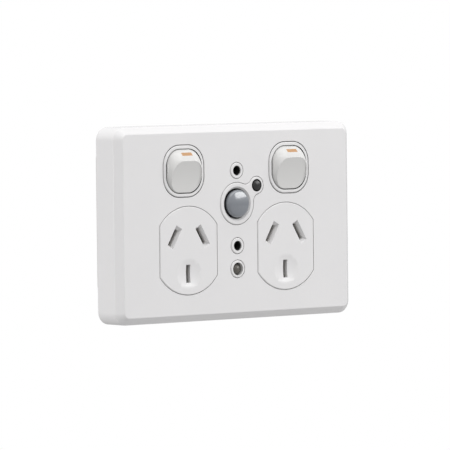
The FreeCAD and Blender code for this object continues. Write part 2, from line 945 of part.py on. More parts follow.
    heads = [(disc, fixing_x * side, dim(0), S.fixing_head) for _, side in SIDES]
    cut(body, "FixingHeads", "XZ_Plane", deck_front, -S.fixing_floor, *heads)
    shanks = [(disc, fixing_x * side, dim(0), S.fixing_radius) for _, side in SIDES]
    cut(body, "FixingHoles", "XZ_Plane", deck_front, 0, *shanks)
    pilots = [(disc, x, z, S.screw_radius + S.thread_slip) for x, z in ear_places]
    cut(body, "ScrewPilots", "XZ_Plane", nose, nose - S.screw_bite - S.screw_spare, *pilots)
    sockets = clip_outlines(S.cover_slip)
    cut(body, "ClipSockets", "XZ_Plane", deck_front, deck_back, *sockets)


def earth_slot(x):
    half = S.earth_slot_wide / 2
    return x - half, x + half, earth_z - S.slot_long / 2, earth_z + S.slot_long / 2


def board_feet():
    feet = []
    top = housing_half - S.foot_top_inset
    for _, side in SIDES:
        feet.append((disc, S.foot_across * side, -S.foot_down, S.foot_radius))
        feet.append((disc, S.foot_top_across * side, top, S.foot_radius))
    return feet


# Rockers: a drum about the pivot, with one flat cut across its front and one across its back.
# The pivot is the piece's own origin, and it stands on, with its lower end pressed in.
def make_rocker(name, side):
    body = new_body(name + "_rocker")
    turn(body, name + "Body", "Revolution", "XZ_Plane", "H_Axis", 0, (drum_outline, dim(0), 1))
    far = S.rocker_reach + S.rocker_overcut
    reach = S.rocker_half + S.rocker_overcut
    before = (rectangle, -far, -S.rocker_face, -far, far)
    behind = (rectangle, S.rocker_back, far, -far, far)
    cut(body, name + "Flats", "YZ_Plane", -reach, reach, before, behind)
    soften(body, name + "SoftFace", S.rocker_softness, edges_at(-S.rocker_face))
    ends = S.rocker_half + S.trunnion_long
    pad(body, name + "Trunnions", "YZ_Plane", -ends, ends, (disc, 0, 0, S.trunnion_radius))
    inside, tall = S.rocker_hollow_across, S.rocker_hollow_up
    floor = S.rocker_roof - S.rocker_face
    hollow = (rectangle, -inside, inside, -tall, tall)
    cut(body, name + "Hollow", "XZ_Plane", S.rocker_back + S.trunnion_radius, floor, hollow)
    tube = (disc, dim(0), dim(0), S.plunger_tube)
    pad(body, name + "Tube", "XZ_Plane", floor, S.tube_end, tube)
    bore = (disc, dim(0), dim(0), S.plunger_radius + S.stem_slip)
    cut(body, name + "Bore", "XZ_Plane", S.tube_end, -S.tube_floor, bore)
    half = S.mark_long / 2
    cut(body, name + "MarkPocket", "YZ_Plane", -half, half, (mark_outline, S.mark_deep))
    set_in_rocker(body, side)


def set_in_rocker(thing, side):
    """Stand a piece on the rocker's pivot, tilted with it."""
    x = S.switch_across * side
    return move(thing, x, pivot_y, S.switch_up, Vector(1, 0, 0), S.rocker_tilt)


def lathe(body, name, points, arcs=None):
    """A round shape about its own Y axis, from (depth, radius) points."""
    return turn(body, name, "Revolution", "YZ_Plane", "H_Axis", 0, (outline, points, arcs))


def ring(x, z, outer, inner):
    """The two circles of a tube, for one sketch."""
    return (disc, x, z, outer), (disc, x, z, inner)


# The orange mark set into the upper curve of a rocker, and its pocket.
def mark_outline(sketch, proud):
    outer, inner = S.rocker_reach + proud, S.rocker_reach - S.mark_deep
    low, high = S.mark_angle + S.mark_span / 2, S.mark_angle - S.mark_span / 2
    points = []
    for radius, angle in ((outer, low), (outer, high), (inner, high), (inner, low)):
        points.append((-radius * sine(angle), radius * cosine(angle)))
    outline(sketch, points, {0: (outer, -1), 2: (inner, 1)})


def make_rocker_mark(name, side):
    body = new_body(name + "_rocker_mark")
    half = S.mark_long / 2
    pad(body, name + "Mark", "YZ_Plane", -half, half, (mark_outline, dim(0)))
    set_in_rocker(body, side)


# The plunger in each rocker, with a round tip that slides over the moving contact.
def make_rocker_plunger(name, side):
    body = new_body(name + "_rocker_plunger")
    r = S.plunger_radius
    points = [(S.plunger_top, 0), (S.plunger_tip, 0), (S.plunger_tip - r, r), (S.plunger_top, r)]
    lathe(body, name + "Plunger", points, {1: (r, 1)})
    set_in_rocker(body, side)


def coil_spring(body, name, front, back, mean):
    """A spring drawn as the sleeve that its coils fill."""
    half = S.spring_wire / 2
    pad(body, name, "XZ_Plane", front, back, *ring(dim(0), dim(0), mean + half, mean - half))


def make_rocker_spring(name, side):
    body = new_body(name + "_rocker_spring")
    front = -S.tube_floor + S.spring_seat
    coil_spring(body, name + "Coils", front, S.plunger_top - S.spring_seat, S.small_spring_radius)
    set_in_rocker(body, side)


# Moving contact: a seesaw bent about the knife edge, with one silver rivet.
def make_moving_contact(name, side):
    body = new_body(name + "_moving_contact")
    bend = S.throw * 2
    s, c = sine(bend), cosine(bend)
    long, thick = S.arm_long, S.arm_thick
    points = [
        (dim(0), dim(0)),
        (dim(0), long),
        (-thick, long),
        (-thick, thick * sine(S.throw) / cosine(S.throw)),
        (-long * s - thick * c, -long * c + thick * s),
        (-long * s, -long * c),
    ]
    half = S.arm_wide / 2
    pad(body, name + "Arms", "YZ_Plane", -half, half, (outline, points))
    rivet = (disc, dim(0), S.rivet_out, S.rivet_radius)
    pad(body, name + "Rivet", "XZ_Plane", -S.arm_thick / 2, S.rivet_tall, rivet)
    move(body, S.switch_across * side, S.seesaw_depth, S.switch_up)


# The pin contacts: flat strips on the carrier, with a pair of sprung leaves for each pin.
strip_front = S.carrier_depth - S.strip_thick
leaf_front = deck_back + S.leaf_front_gap


def pin_clip(body, name, x, z, degrees):
    base = (tilted, x, z, S.clip_base, S.leaf_wide, degrees)
    pad(body, name + "Base", "XZ_Plane", strip_front, S.carrier_depth, base)
    leaves = []
    for hand in (-1, 1):
        aside = (S.leaf_gap + S.leaf_thick) / 2 * hand
        leaves.append((tilted, x, z, S.leaf_thick, S.leaf_wide, degrees, aside))
    pad(body, name + "Leaves", "XZ_Plane", leaf_front, S.carrier_depth, *leaves)


def fixed_rivet(body, name, side):
    front = S.seesaw_depth + S.rivet_tall + S.contact_gap
    z = S.switch_up + S.rivet_out
    shape = (disc, S.switch_across * side, z, S.rivet_radius)
    pad(body, name, "XZ_Plane", strip_front + S.strip_thick / 2, front, shape)


pin_reach = S.outlet_across + S.pin_half
return_tab_low = -S.neutral_line - S.neutral_band / 2
column_in = S.switch_across + S.column_aside
column_out = column_in + S.strip_wide
head_top = S.switch_up + S.head_above
head_low = head_top - S.head_tall
head_tip = S.switch_across - S.head_past


def make_left_active_contact():
    body = new_body("left_active_contact")
    strip = [
        (-column_out, pin_z),
        (-column_in, pin_z),
        (-column_in, head_low),
        (-head_tip, head_low),
        (-head_tip, head_top),
        (-column_out, head_top),
    ]
    pad(body, "LeftActiveStrip", "XZ_Plane", strip_front, S.carrier_depth, (outline, strip))
    pin_clip(body, "LeftActive", -pin_reach, pin_z, S.pin_tilt)
    fixed_rivet(body, "LeftFixedRivet", -1)


def make_right_active_contact():
    body = new_body("right_active_contact")
    inner = S.outlet_across - S.pin_half
    left, right = inner - S.strip_inside, inner + S.strip_outside
    cross = S.cross_line
    strip = [
        (left, pin_z),
        (right, pin_z),
        (right, cross),
        (column_out, cross),
        (column_out, head_top),
        (head_tip, head_top),
        (head_tip, head_low),
        (column_in, head_low),
        (column_in, cross + S.strip_wide),
        (left, cross + S.strip_wide),
    ]
    pad(body, "RightActiveStrip", "XZ_Plane", strip_front, S.carrier_depth, (outline, strip))
    pin_clip(body, "RightActive", inner, pin_z, S.pin_tilt)
    fixed_rivet(body, "RightFixedRivet", 1)


def make_neutral_strip():
    body = new_body("neutral_strip")
    inner = -S.outlet_across + S.pin_half
    low, high = return_tab_low, return_tab_low + S.neutral_band
    left, right = inner - S.strip_outside, pin_reach + S.neutral_end
    strip = [
        (left, low),
        (right, low),
        (right, pin_z),
        (right - S.strip_wide, pin_z),
        (right - S.strip_wide, high),
        (left + S.strip_wide, high),
        (left + S.strip_wide, pin_z),
        (left, pin_z),
    ]
    pad(body, "NeutralStrip", "XZ_Plane", strip_front, S.carrier_depth, (outline, strip))
    pin_clip(body, "LeftNeutral", inner, pin_z, -S.pin_tilt)
    pin_clip(body, "RightNeutral", pin_reach, pin_z, -S.pin_tilt)


earth_tab_low = earth_z - S.earth_tab_below
earth_tab_high = earth_tab_low + S.strip_thick


def make_earth_strip():
    body = new_body("earth_strip")
    low, high = earth_z - S.earth_band / 2, earth_z + S.earth_band / 2
    ends = S.outlet_across + S.earth_end
    notch = S.earth_tab_half + S.earth_notch
    foot = earth_tab_low - S.earth_notch_deep
    strip = [
        (-ends, low),
        (-notch, low),
        (-notch, foot),
        (notch, foot),
        (notch, low),
        (ends, low),
        (ends, high),
        (-ends, high),
    ]
    pad(body, "EarthStrip", "XZ_Plane", strip_front, S.carrier_depth, (outline, strip))
    pin_clip(body, "LeftEarth", -S.outlet_across, earth_z, 0)
    pin_clip(body, "RightEarth", S.outlet_across, earth_z, 0)
    inside = strip_front + S.strip_thick / 2
    half = S.earth_tab_half
    tab = (rectangle, -half, half, earth_tab_low, earth_tab_high)
    pad(body, "EarthTab", "XZ_Plane", inside, S.terminal_front, tab)


# The bar that feeds both switches, with a knife edge for each moving contact.
def make_switch_feed_bar():
    body = new_body("switch_feed_bar")
    ends = S.switch_across + S.arm_wide / 2
    bar = (rectangle, -ends, ends, S.feed_low, S.feed_high)
    pad(body, "FeedBar", "XZ_Plane", strip_front, S.carrier_depth, bar)
    knife_tip = S.seesaw_depth + S.knife_gap
    root_y = strip_front + S.strip_thick / 2
    knife = [
        (root_y, S.switch_up - S.knife_root),
        (root_y, S.switch_up + S.knife_root),
        (knife_tip, S.switch_up + S.knife_edge),
        (knife_tip, S.switch_up - S.knife_edge),
    ]
    for name, side in SIDES:
        low, high = S.switch_across * side - S.knife_half, S.switch_across * side + S.knife_half
        pad(body, name + "Knife", "YZ_Plane", low, high, (outline, knife))


# Indicator board behind the deck, with its lamps in black tubes.
board_back = -S.front_board_depth + S.board_thick
lamp_heights = {"upper": S.lamp_upper, "middle": -S.lamp_middle, "lower": -S.lamp_lower}


def lead_outlines(x, z, radius):
    return [(disc, x + S.lead_pitch * hand, z, radius) for hand in (-1, 1)]


def make_indicator_board():
    body = new_body("indicator_board")
    half = S.front_board_half
    low, high = S.front_board_bottom_inset - housing_half, housing_half - S.front_board_top_inset
    board = (rectangle, -half, half, low, high)
    hole = (disc, dim(0), S.reset_up, S.board_hole)
    drills = []
    for z in lamp_heights.values():
        drills += lead_outlines(dim(0), z, S.lead_radius + S.lead_slip)
    front = -S.front_board_depth
    pad(body, "IndicatorBoard", "XZ_Plane", front, board_back, board, hole, *drills)


def make_lamp(name):
    body = new_body(name + "_lamp")
    lower = name == "lower"
    r = S.lens_radius if lower else S.lamp_radius
    tip = face_y + (S.lens_sunk if lower else S.lamp_sunk)
    foot = -S.lamp_foot
    points = [(tip, 0), (foot, 0), (foot, r), (tip + r, r)]
    lathe(body, name + "Lens", points, {3: (r, 1)})
    leads = lead_outlines(dim(0), dim(0), S.lead_radius)
    pad(body, name + "Leads", "XZ_Plane", foot, board_back + S.lead_past, *leads)
    move(body, 0, 0, lamp_heights[name])


def make_lamp_holder(name):
    body = new_body(name + "_lamp_holder")
    if name == "lower":
        front, outer = -S.lamp_foot, S.lens_radius
    else:
        front, outer = face_y + S.holder_sunk, S.lamp_hole - S.holder_slip
    tube = ring(dim(0), dim(0), outer, S.holder_bore)
    pad(body, name + "Holder", "XZ_Plane", front, -S.front_board_depth, *tube)
    move(body, 0, 0, lamp_heights[name])


# Reset button, its spring and the stem that reaches through to the contact carriage.
flange_front = deck_back + S.flange_gap
flange_back = flange_front + S.flange_thick
stem_end = S.carriage_front - S.contact_gap * 2


def make_reset_button():
    body = new_body("reset_button")
    tip, r, bend = face_y - S.reset_proud, S.reset_radius, S.reset_round
    flange = S.reset_hole + S.flange_wide
    points = [
        (tip, 0),
        (stem_end, 0),
        (stem_end, S.stem_radius),
        (flange_back, S.stem_radius),
        (flange_back, flange),
        (flange_front, flange),
        (flange_front, r),
        (tip + bend, r),
        (tip, r - bend),
    ]
    lathe(body, "ResetShape", points, {7: (bend, 1)})
    move(body, 0, 0, S.reset_up)


def make_reset_spring():
    body = new_body("reset_spring")
    back = S.carrier_depth - S.spring_seat
    coil_spring(body, "ResetCoils", flange_back + S.spring_seat, back, S.reset_spring_radius)
    move(body, 0, 0, S.reset_up)


def make_test_button():
    body = new_body("test_button")
    tip, r, bend = face_y - S.test_proud, S.test_radius, S.test_round
    flange = S.test_hole + S.flange_wide
    end = flange_back + S.tail_long
    points = [
        (tip, 0),
        (end, 0),
        (end, S.tail_radius),
        (flange_back, S.tail_radius),
        (flange_back, flange),
        (flange_front, flange),
        (flange_front, r),
        (tip + bend, r),
        (tip, r - bend),
    ]
    lathe(body, "TestShape", points, {7: (bend, 1)})
    move(body, S.test_across, 0, S.test_up)


# The leaf contact under the test button, bent up from a foot on the indicator board.
def make_test_leaf():
    body = new_body("test_leaf")
    foot_y = -S.front_board_depth
    head_y = flange_back + S.tail_long + S.contact_gap * 2
    low = S.test_up - S.leaf_down
    t = S.leaf_blade
    points = [
        (foot_y, low),
        (foot_y, low + S.leaf_foot),
        (head_y + t, S.test_up - S.leaf_head),
        (head_y + t, S.test_up + S.leaf_head),
        (head_y, S.test_up + S.leaf_head),
        (head_y, S.test_up - S.leaf_head - t / 2),
        (foot_y - t, low + S.leaf_foot - t / 2),
        (foot_y - t, low),
    ]
    half = S.leaf_strip / 2
    x = S.test_across
    pad(body, "TestLeaf", "YZ_Plane", x - half, x + half, (outline, points))


# Rear housing: the box behind the wall, held to the front moulding by four screws.
def ear_outline(sketch, x, z, radius):
    foot = housing_half - S.housing_wall / 2
    foot = foot if z.number > 0 else -foot
    if z.number > 0:
        points = [(x - radius, foot), (x + radius, foot), (x + radius, z), (x - radius, z)]
    else:
        points = [(x + radius, foot), (x - radius, foot), (x - radius, z), (x + radius, z)]
    outline(sketch, points, {2: (radius, 1)})


housing_floor = S.housing_depth - S.housing_wall
terminal_z = S.housing_wall - housing_half + S.terminal_tall / 2
terminal_back = S.terminal_front + S.terminal_deep
board_line = S.control_depth + S.board_thick
TERMINALS = (("active", -1), ("earth", 0), ("neutral", 1))


def make_rear_housing():
    body = new_body("rear_housing")
    nose = -S.housing_nose
    centre = (dim(0), dim(0))
    outer = (rounded, *centre, S.housing_width, S.housing_height, S.housing_corner)
    wall = S.housing_wall
    inner_size = (S.housing_width - wall * 2, S.housing_height - wall * 2)
    inner = (rounded, *centre, *inner_size, S.housing_corner - wall)
    pad(body, "HousingBlock", "XZ_Plane", nose, S.housing_depth, outer)
    soften(body, "HousingSoftBack", S.housing_softness, edges_at(S.housing_depth))
    cut(body, "HousingHollow", "XZ_Plane", nose, housing_floor, inner)

    ears = [(ear_outline, x, z, S.ear_radius) for x, z in ear_places]
    drills = [(disc, x, z, S.screw_radius + S.screw_slip) for x, z in ear_places]
    ear_back = nose + S.ear_thick
    pad(body, "Ears", "XZ_Plane", nose, ear_back, *ears)
    cut(body, "EarHoles", "XZ_Plane", nose, ear_back, *drills)

    ledges = []
    ledge_front = S.carrier_depth + S.carrier_thick
    inside_x, inside_z = inner_size[0] / 2, inner_size[1] / 2
    for _, side in SIDES:
        far, near = inside_x + wall / 2, inside_x - S.ledge_thick
        left, right = (near, far) if side > 0 else (-far, -near)
        ledges.append((rectangle, left, right, -S.ledge_long, S.ledge_long))
        for _, rise in SIDES:
            far, near = inside_z + wall / 2, inside_z - S.ledge_thick
            low, high = (near, far) if rise > 0 else (-far, -near)
            x = S.ledge_across * side
            half = S.ledge_long / 2
            ledges.append((rectangle, x - half, x + half, low, high))
    into_back = S.housing_depth - wall / 2
    pad(body, "Ledges", "XZ_Plane", ledge_front, into_back, *ledges)

    posts = []
    for _, side in SIDES:
        x = S.control_post_across * side
        low, high = S.control_post_inset - S.control_bottom, S.control_top - S.control_post_inset
        posts.append((disc, x, low, S.control_post))
        posts.append((disc, x, high, S.control_post))
    pad(body, "BoardStuds", "XZ_Plane", board_line, into_back, *posts)

    seats, drivers, entries = [], [], []
    half = S.terminal_width / 2
    for _, step in TERMINALS:
        x = S.terminal_pitch * step
        low, high = terminal_z - S.terminal_tall / 2 - wall / 2, terminal_z + half
        seats.append((rectangle, x - half, x + half, low, high))
        drivers.append((disc, x, terminal_z, S.driver_hole))
        entries.append((disc, x, S.wire_depth, S.entry_radius))
    pad(body, "TerminalSeats", "XZ_Plane", terminal_back, into_back, *seats)
    cut(body, "DriverHoles", "XZ_Plane", terminal_back, S.housing_depth, *drivers)
    below = -housing_half
    cut(body, "WireEntries", "XY_Plane", below, below + wall, *entries)


# The four screws through the ears of the housing.
def make_housing_screws():
    body = new_body("housing_screws")
    body.AllowCompound = True
    seat = -S.housing_nose + S.ear_thick
    tip = -S.housing_nose - S.screw_bite
    shanks = [(disc, x, z, S.screw_radius) for x, z in ear_places]
    heads = [(disc, x, z, S.screw_head) for x, z in ear_places]
    pad(body, "HousingShanks", "XZ_Plane", tip, seat, *shanks)
    top = seat + S.screw_head_tall
    pad(body, "HousingHeads", "XZ_Plane", seat, top, *heads)
    soften(body, "HousingHeadEdges", S.screw_softness, edges_at(top))
    long, wide = S.driver_slot_long, S.driver_slot_wide
    slots = [(tilted, x, z, long, wide, 0) for x, z in ear_places]
    cut(body, "HousingSlots", "XZ_Plane", top, top - S.driver_slot_deep, *slots)


# Contact carrier: the insulating plate between the pin contacts and the residual current device.
load_tab_x = (-S.bridge_across - S.bridge_wide / 2, -S.bridge_across + S.bridge_wide / 2)
load_tab_z = (S.feed_high - S.strip_thick, S.feed_high)
return_x = (S.return_inner, S.return_outer)
return_tab_z = (return_tab_low, return_tab_low + S.strip_thick)


def slot_for_a_tab(left, right, low, high):
    """The hole that lets a tab pass with room all round."""
    slip = S.tab_slip
    return rectangle, left - slip, right + slip, low - slip, high + slip


def make_contact_carrier():
    body = new_body("contact_carrier")
    slip = S.carrier_slip
    wide = S.housing_width - S.housing_wall * 2 - slip * 2
    tall = S.housing_height - S.housing_wall * 2 - slip * 2
    front, back = S.carrier_depth, S.carrier_depth + S.carrier_thick
    plate = (rounded, dim(0), dim(0), wide, tall, S.housing_corner - S.housing_wall)
    guide = (disc, dim(0), S.reset_up, S.stem_radius + S.stem_slip)
    half = S.earth_tab_half
    slots = [
        slot_for_a_tab(*load_tab_x, *load_tab_z),
        slot_for_a_tab(*return_x, *return_tab_z),
        slot_for_a_tab(-half, half, earth_tab_low, earth_tab_high),
    ]
    pad(body, "CarrierPlate", "XZ_Plane", front, back, plate, guide, *slots)
    pad(body, "BoardProps", "XZ_Plane", (front + back) / 2, board_back, *board_feet())
    props = []
    for _, side in SIDES:
        x = S.base_post_across * side
        props.append((disc, x, S.base_post_top, S.post_radius))
        props.append((disc, x, -S.base_post_bottom, S.post_radius))
    pad(body, "BaseProps", "XZ_Plane", (front + back) / 2, S.base_front, *props)


# Terminals: brass blocks with a bore for the wires and a screw from behind.
def front_to_back(edge):
    """True for an edge that runs from the front of a block to its back."""
    return edge.BoundBox.YLength > S.terminal_deep.number / 2


def make_terminal(name, step):
    body = new_body(name + "_terminal")
    x = S.terminal_pitch * step
    wide, tall = S.terminal_width / 2, S.terminal_tall / 2
    block = (rectangle, x - wide, x + wide, terminal_z - tall, terminal_z + tall)
    pad(body, name + "Block", "XZ_Plane", S.terminal_front, terminal_back, block)
    soften(body, name + "SoftCorners", S.terminal_softness, front_to_back)
    bore = (disc, x, S.wire_depth, S.wire_radius)
    low, high = terminal_z - tall, terminal_z + tall
    cut(body, name + "WireBore", "XY_Plane", low, high, bore)
    thread = (disc, x, terminal_z, S.thread_radius)
    cut(body, name + "Thread", "XZ_Plane", terminal_back, S.wire_depth, thread)


def make_terminal_screws():
    body = new_body("terminal_screws")
    body.AllowCompound = True
    tip = S.wire_depth + S.wire_radius + S.terminal_screw_gap
    neck = terminal_back + S.terminal_screw_neck
    top = neck + S.terminal_head_tall
    places = [S.terminal_pitch * step for _, step in TERMINALS]
    shanks = [(disc, x, terminal_z, S.thread_radius - S.thread_slip) for x in places]
    heads = [(disc, x, terminal_z, S.terminal_screw_head) for x in places]
    pad(body, "TerminalShanks", "XZ_Plane", tip, neck, *shanks)
    pad(body, "TerminalHeads", "XZ_Plane", neck, top, *heads)
    long, wide = S.terminal_slot_long, S.terminal_slot_wide
    slots = [(tilted, x, terminal_z, long, wide, 0) for x in places]
    cut(body, "TerminalSlots", "XZ_Plane", top, top - S.terminal_slot_deep, *slots)


# Contact base: the plate that carries the fixed contacts and guides the carriage.
base_back = S.base_front + S.base_thick
bar_front = S.base_front - S.strip_thick
guide_places = [(S.guide_across * side, S.reset_up - S.guide_up * side) for _, side in SIDES]
sensor_z = -S.sensor_down


def make_contact_base():
    body = new_body("contact_base")
    top = housing_half - S.base_top_inset
    plate = (rectangle, -S.base_half, S.base_half, -S.base_bottom, top)
    well = (disc, dim(0), S.reset_up, S.armature_radius + S.armature_slip)
    pass_through = (disc, dim(0), sensor_z, S.sensor_hole + S.sensor_room)
    pad(body, "BasePlate", "XZ_Plane", S.base_front, base_back, plate, well, pass_through)
    pins = [(disc, x, z, S.guide_radius) for x, z in guide_places]
    front = S.carrier_depth + S.carrier_thick + S.contact_gap * 2
    pad(body, "GuidePins", "XZ_Plane", S.base_front + S.base_thick / 2, front, *pins)


# Contact carriage: pushed in by the reset button, and held in by the magnet when powered.
carriage_back = S.carriage_front + S.carriage_thick
spring_places = (S.reset_up + S.carriage_spring_out, S.reset_up - S.carriage_spring_out)


def make_contact_carriage():
    body = new_body("contact_carriage")
    wide, half_band, arm = S.carriage_half, S.carriage_band / 2, S.carriage_arm
    low, high = S.reset_up - half_band, S.reset_up + half_band
    bottom, top = spring_places[1] - S.spring_room, spring_places[0] + S.spring_room
    cross = [
        (-arm, bottom),
        (arm, bottom),
        (arm, low),
        (wide, low),
        (wide, high),
        (arm, high),
        (arm, top),
        (-arm, top),
        (-arm, high),
        (-wide, high),
        (-wide, low),
        (-arm, low),
    ]
    drills = [(disc, x, z, S.guide_radius + S.guide_slip) for x, z in guide_places]
    shapes = [(outline, cross)] + drills
    pad(body, "CarriagePlate", "XZ_Plane", S.carriage_front, carriage_back, *shapes)
    hub = (disc, dim(0), S.reset_up, S.hub_radius)
    pad(body, "CarriageHub", "XZ_Plane", S.carriage_front, S.armature_front, hub)


def make_bridge(name, side):
    body = new_body(name + "_bridge")
    x, half = S.bridge_across * side, S.bridge_wide / 2
    low, high = S.reset_up - S.bridge_half, S.reset_up + S.bridge_half
    back = carriage_back + S.strip_thick
    bar = (rectangle, x - half, x + half, low, high)
    pad(body, name + "BridgeBar", "XZ_Plane", carriage_back, back, bar)
    rivets = []
    for rise in (-1, 1):
        rivets.append((disc, x, S.reset_up + S.main_rivet_out * rise, S.main_rivet))
    top = back + S.main_rivet_tall
    pad(body, name + "BridgeRivets", "XZ_Plane", back - S.strip_thick / 2, top, *rivets)


def make_armature_plate():
    body = new_body("armature_plate")
    shape = (disc, dim(0), S.reset_up, S.armature_radius)
    back = S.armature_front + S.armature_thick
    pad(body, "Armature", "XZ_Plane", S.armature_front, back, shape)


def make_carriage_springs():
    body = new_body("carriage_springs")
    body.AllowCompound = True
    half = S.spring_wire / 2
    shapes = []
    for z in spring_places:
        mean = S.small_spring_radius
        shapes += ring(dim(0), z, mean + half, mean - half)
    front, back = carriage_back + S.spring_seat, S.base_front - S.spring_seat
    pad(body, "CarriageCoils", "XZ_Plane", front, back, *shapes)


# The bars on the contact base: in from the terminals through the sensor, and out to the strips.
def mirrored(points, side):
    flipped = [(x * -side, z) for x, z in points]
    return flipped if side < 0 else flipped[::-1]


def span(a, b, side):
    """Two distances from the middle, as left and right on the given side."""
    return (dim(a), dim(b)) if side > 0 else (-dim(b), -dim(a))


def main_rivet(body, name, x, z):
    front = bar_front - S.fixed_rivet_tall
    shape = (disc, x, z, S.main_rivet + S.fixed_rivet_wider)
    pad(body, name + "Rivet", "XZ_Plane", bar_front + S.strip_thick / 2, front, shape)


def make_line_bar(name, side):
    body = new_body("line_%s_bar" % name)
    inner, outer = S.bar_inner, S.bar_inner + S.bar_wide
    rivet_x = S.bridge_across
    far, near = rivet_x + S.bridge_wide / 2, rivet_x - S.bridge_wide / 2
    contact_z = S.reset_up - S.main_rivet_out
    tail = sensor_z - S.bar_tail
    step, end = S.bar_step - S.bar_turn, contact_z + S.bar_end
    front = [
        (-outer, tail),
        (-inner, tail),
        (-inner, step),
        (-near, step),
        (-near, end),
        (-far, end),
        (-far, -S.bar_turn),
        (-outer, -S.bar_turn),
    ]
    shape = (outline, mirrored(front, side))
    pad(body, name + "LineFront", "XZ_Plane", bar_front, S.base_front, shape)
    rear_back = S.rear_bar_depth + S.strip_thick
    low, high = tail, tail + S.bar_stem
    stem = (rectangle, *span(inner, outer, side), low, high)
    pad(body, name + "LineStem", "XZ_Plane", bar_front, rear_back, stem)
    leg_in, leg_out = S.terminal_pitch - S.bar_leg_half, S.terminal_pitch + S.bar_leg_half
    top = terminal_z + S.terminal_tall / 2
    rear = [
        (-inner, high),
        (-leg_out, high),
        (-leg_out, top),
        (-leg_in, top),
        (-leg_in, low),
        (-inner, low),
    ]
    shape = (outline, mirrored(rear, side))
    pad(body, name + "LineRear", "XZ_Plane", S.rear_bar_depth, rear_back, shape)
    main_rivet(body, name + "Line", rivet_x * side, contact_z)


def make_load_active_bar():
    body = new_body("load_active_bar")
    low = S.reset_up + S.main_rivet_out - S.bar_end
    bar = (rectangle, *load_tab_x, low, load_tab_z[1])
    pad(body, "LoadActiveBar", "XZ_Plane", bar_front, S.base_front, bar)
    tab = (rectangle, *load_tab_x, *load_tab_z)
    pad(body, "LoadActiveTab", "XZ_Plane", S.carrier_depth, S.base_front, tab)
    main_rivet(body, "LoadActive", -S.bridge_across, S.reset_up + S.main_rivet_out)


def make_load_neutral_bar():
    body = new_body("load_neutral_bar")
    near = S.bridge_across - S.bridge_wide / 2
    rivet_z = S.reset_up + S.main_rivet_out
    bar = [
        (near, rivet_z - S.bar_end),
        (return_x[0], rivet_z - S.bar_end),
        (return_x[0], return_tab_z[0]),
        (return_x[1], return_tab_z[0]),
        (return_x[1], rivet_z + S.bar_end),
        (near, rivet_z + S.bar_end),
    ]
    pad(body, "LoadNeutralBar", "XZ_Plane", bar_front, S.base_front, (outline, bar))
    tab = (rectangle, *return_x, *return_tab_z)
    pad(body, "LoadNeutralTab", "XZ_Plane", S.carrier_depth, S.base_front, tab)
    main_rivet(body, "LoadNeutral", S.bridge_across, rivet_z)


# Balance transformer: an iron ring with its winding, round both line bars.
sensor_back = S.sensor_front + S.sensor_thick


def make_sensing_core():
    body = new_body("sensing_core")
    wrap = S.sensor_wrap
    tube = ring(dim(0), sensor_z, S.sensor_radius - wrap, S.sensor_hole + wrap)
    pad(body, "SensorRing", "XZ_Plane", S.sensor_front + wrap, sensor_back - wrap, *tube)


def make_sensing_winding():
    body = new_body("sensing_winding")
    wrap = S.sensor_wrap
    outer = (rectangle, S.sensor_front, sensor_back, S.sensor_hole, S.sensor_radius)
    inner = (
        rectangle,
        S.sensor_front + wrap,
        sensor_back - wrap,
        S.sensor_hole + wrap,
        S.sensor_radius - wrap,
    )
    shapes = (outer, inner)
    turn(
        body,
        "SensorWinding",
        "Revolution",
        "YZ_Plane",
        "H_Axis",
        0,
        *shapes,
        degrees=S.sensor_turn,
    )
    move(body, 0, 0, sensor_z)


# The holding magnet behind the carriage.
bobbin_front = base_back
bobbin_back = S.control_depth - S.yoke_thick


def make_magnet_core():
    body = new_body("magnet_core")
    shape = (disc, dim(0), S.reset_up, S.pole_radius)
    pad(body, "MagnetCore", "XZ_Plane", S.pole_front, bobbin_back, shape)


def make_coil_bobbin():
    body = new_body("coil_bobbin")
    t, bore = S.bobbin_flange_thick, S.pole_radius + S.bobbin_bore_slip
    points = [
        (bobbin_front, bore),
        (bobbin_back, bore),
        (bobbin_back, S.bobbin_flange),
        (bobbin_back - t, S.bobbin_flange),
        (bobbin_back - t, S.bobbin_tube),
        (bobbin_front + t, S.bobbin_tube),
        (bobbin_front + t, S.bobbin_flange),
        (bobbin_front, S.bobbin_flange),
    ]
    lathe(body, "Bobbin", points)
    move(body, 0, 0, S.reset_up)


def make_coil_winding():
    body = new_body("coil_winding")
    tube = ring(dim(0), S.reset_up, S.winding_radius, S.bobbin_tube)
    t = S.bobbin_flange_thick
    pad(body, "CoilWinding", "XZ_Plane", bobbin_front + t, bobbin_back - t, *tube)


def make_magnet_yoke():
    body = new_body("magnet_yoke")
    inner = S.bobbin_flange + S.yoke_gap
    outer = inner + S.yoke_thick
    back = S.control_depth
    points = [
        (bobbin_front, -outer),
        (back, -outer),
        (back, outer),
        (bobbin_front, outer),
        (bobbin_front, inner),
        (bobbin_back, inner),
        (bobbin_back, -inner),
        (bobbin_front, -inner),
    ]
    half = S.yoke_half
    pad(body, "Yoke", "YZ_Plane", -half, half, (outline, points))
    move(body, 0, 0, S.reset_up)


# Control board and the parts soldered to its front.
def make_control_board():
    body = new_body("control_board")
    half = S.control_half
    board = (rectangle, -half, half, -S.control_bottom, S.control_top)
    pad(body, "ControlBoard", "XZ_Plane", S.control_depth, board_line, board)


def on_board(name, feature, tall, shape):
    body = new_body(name)
    pad(body, feature, "XZ_Plane", S.control_depth - tall, S.control_depth, shape)
    return body


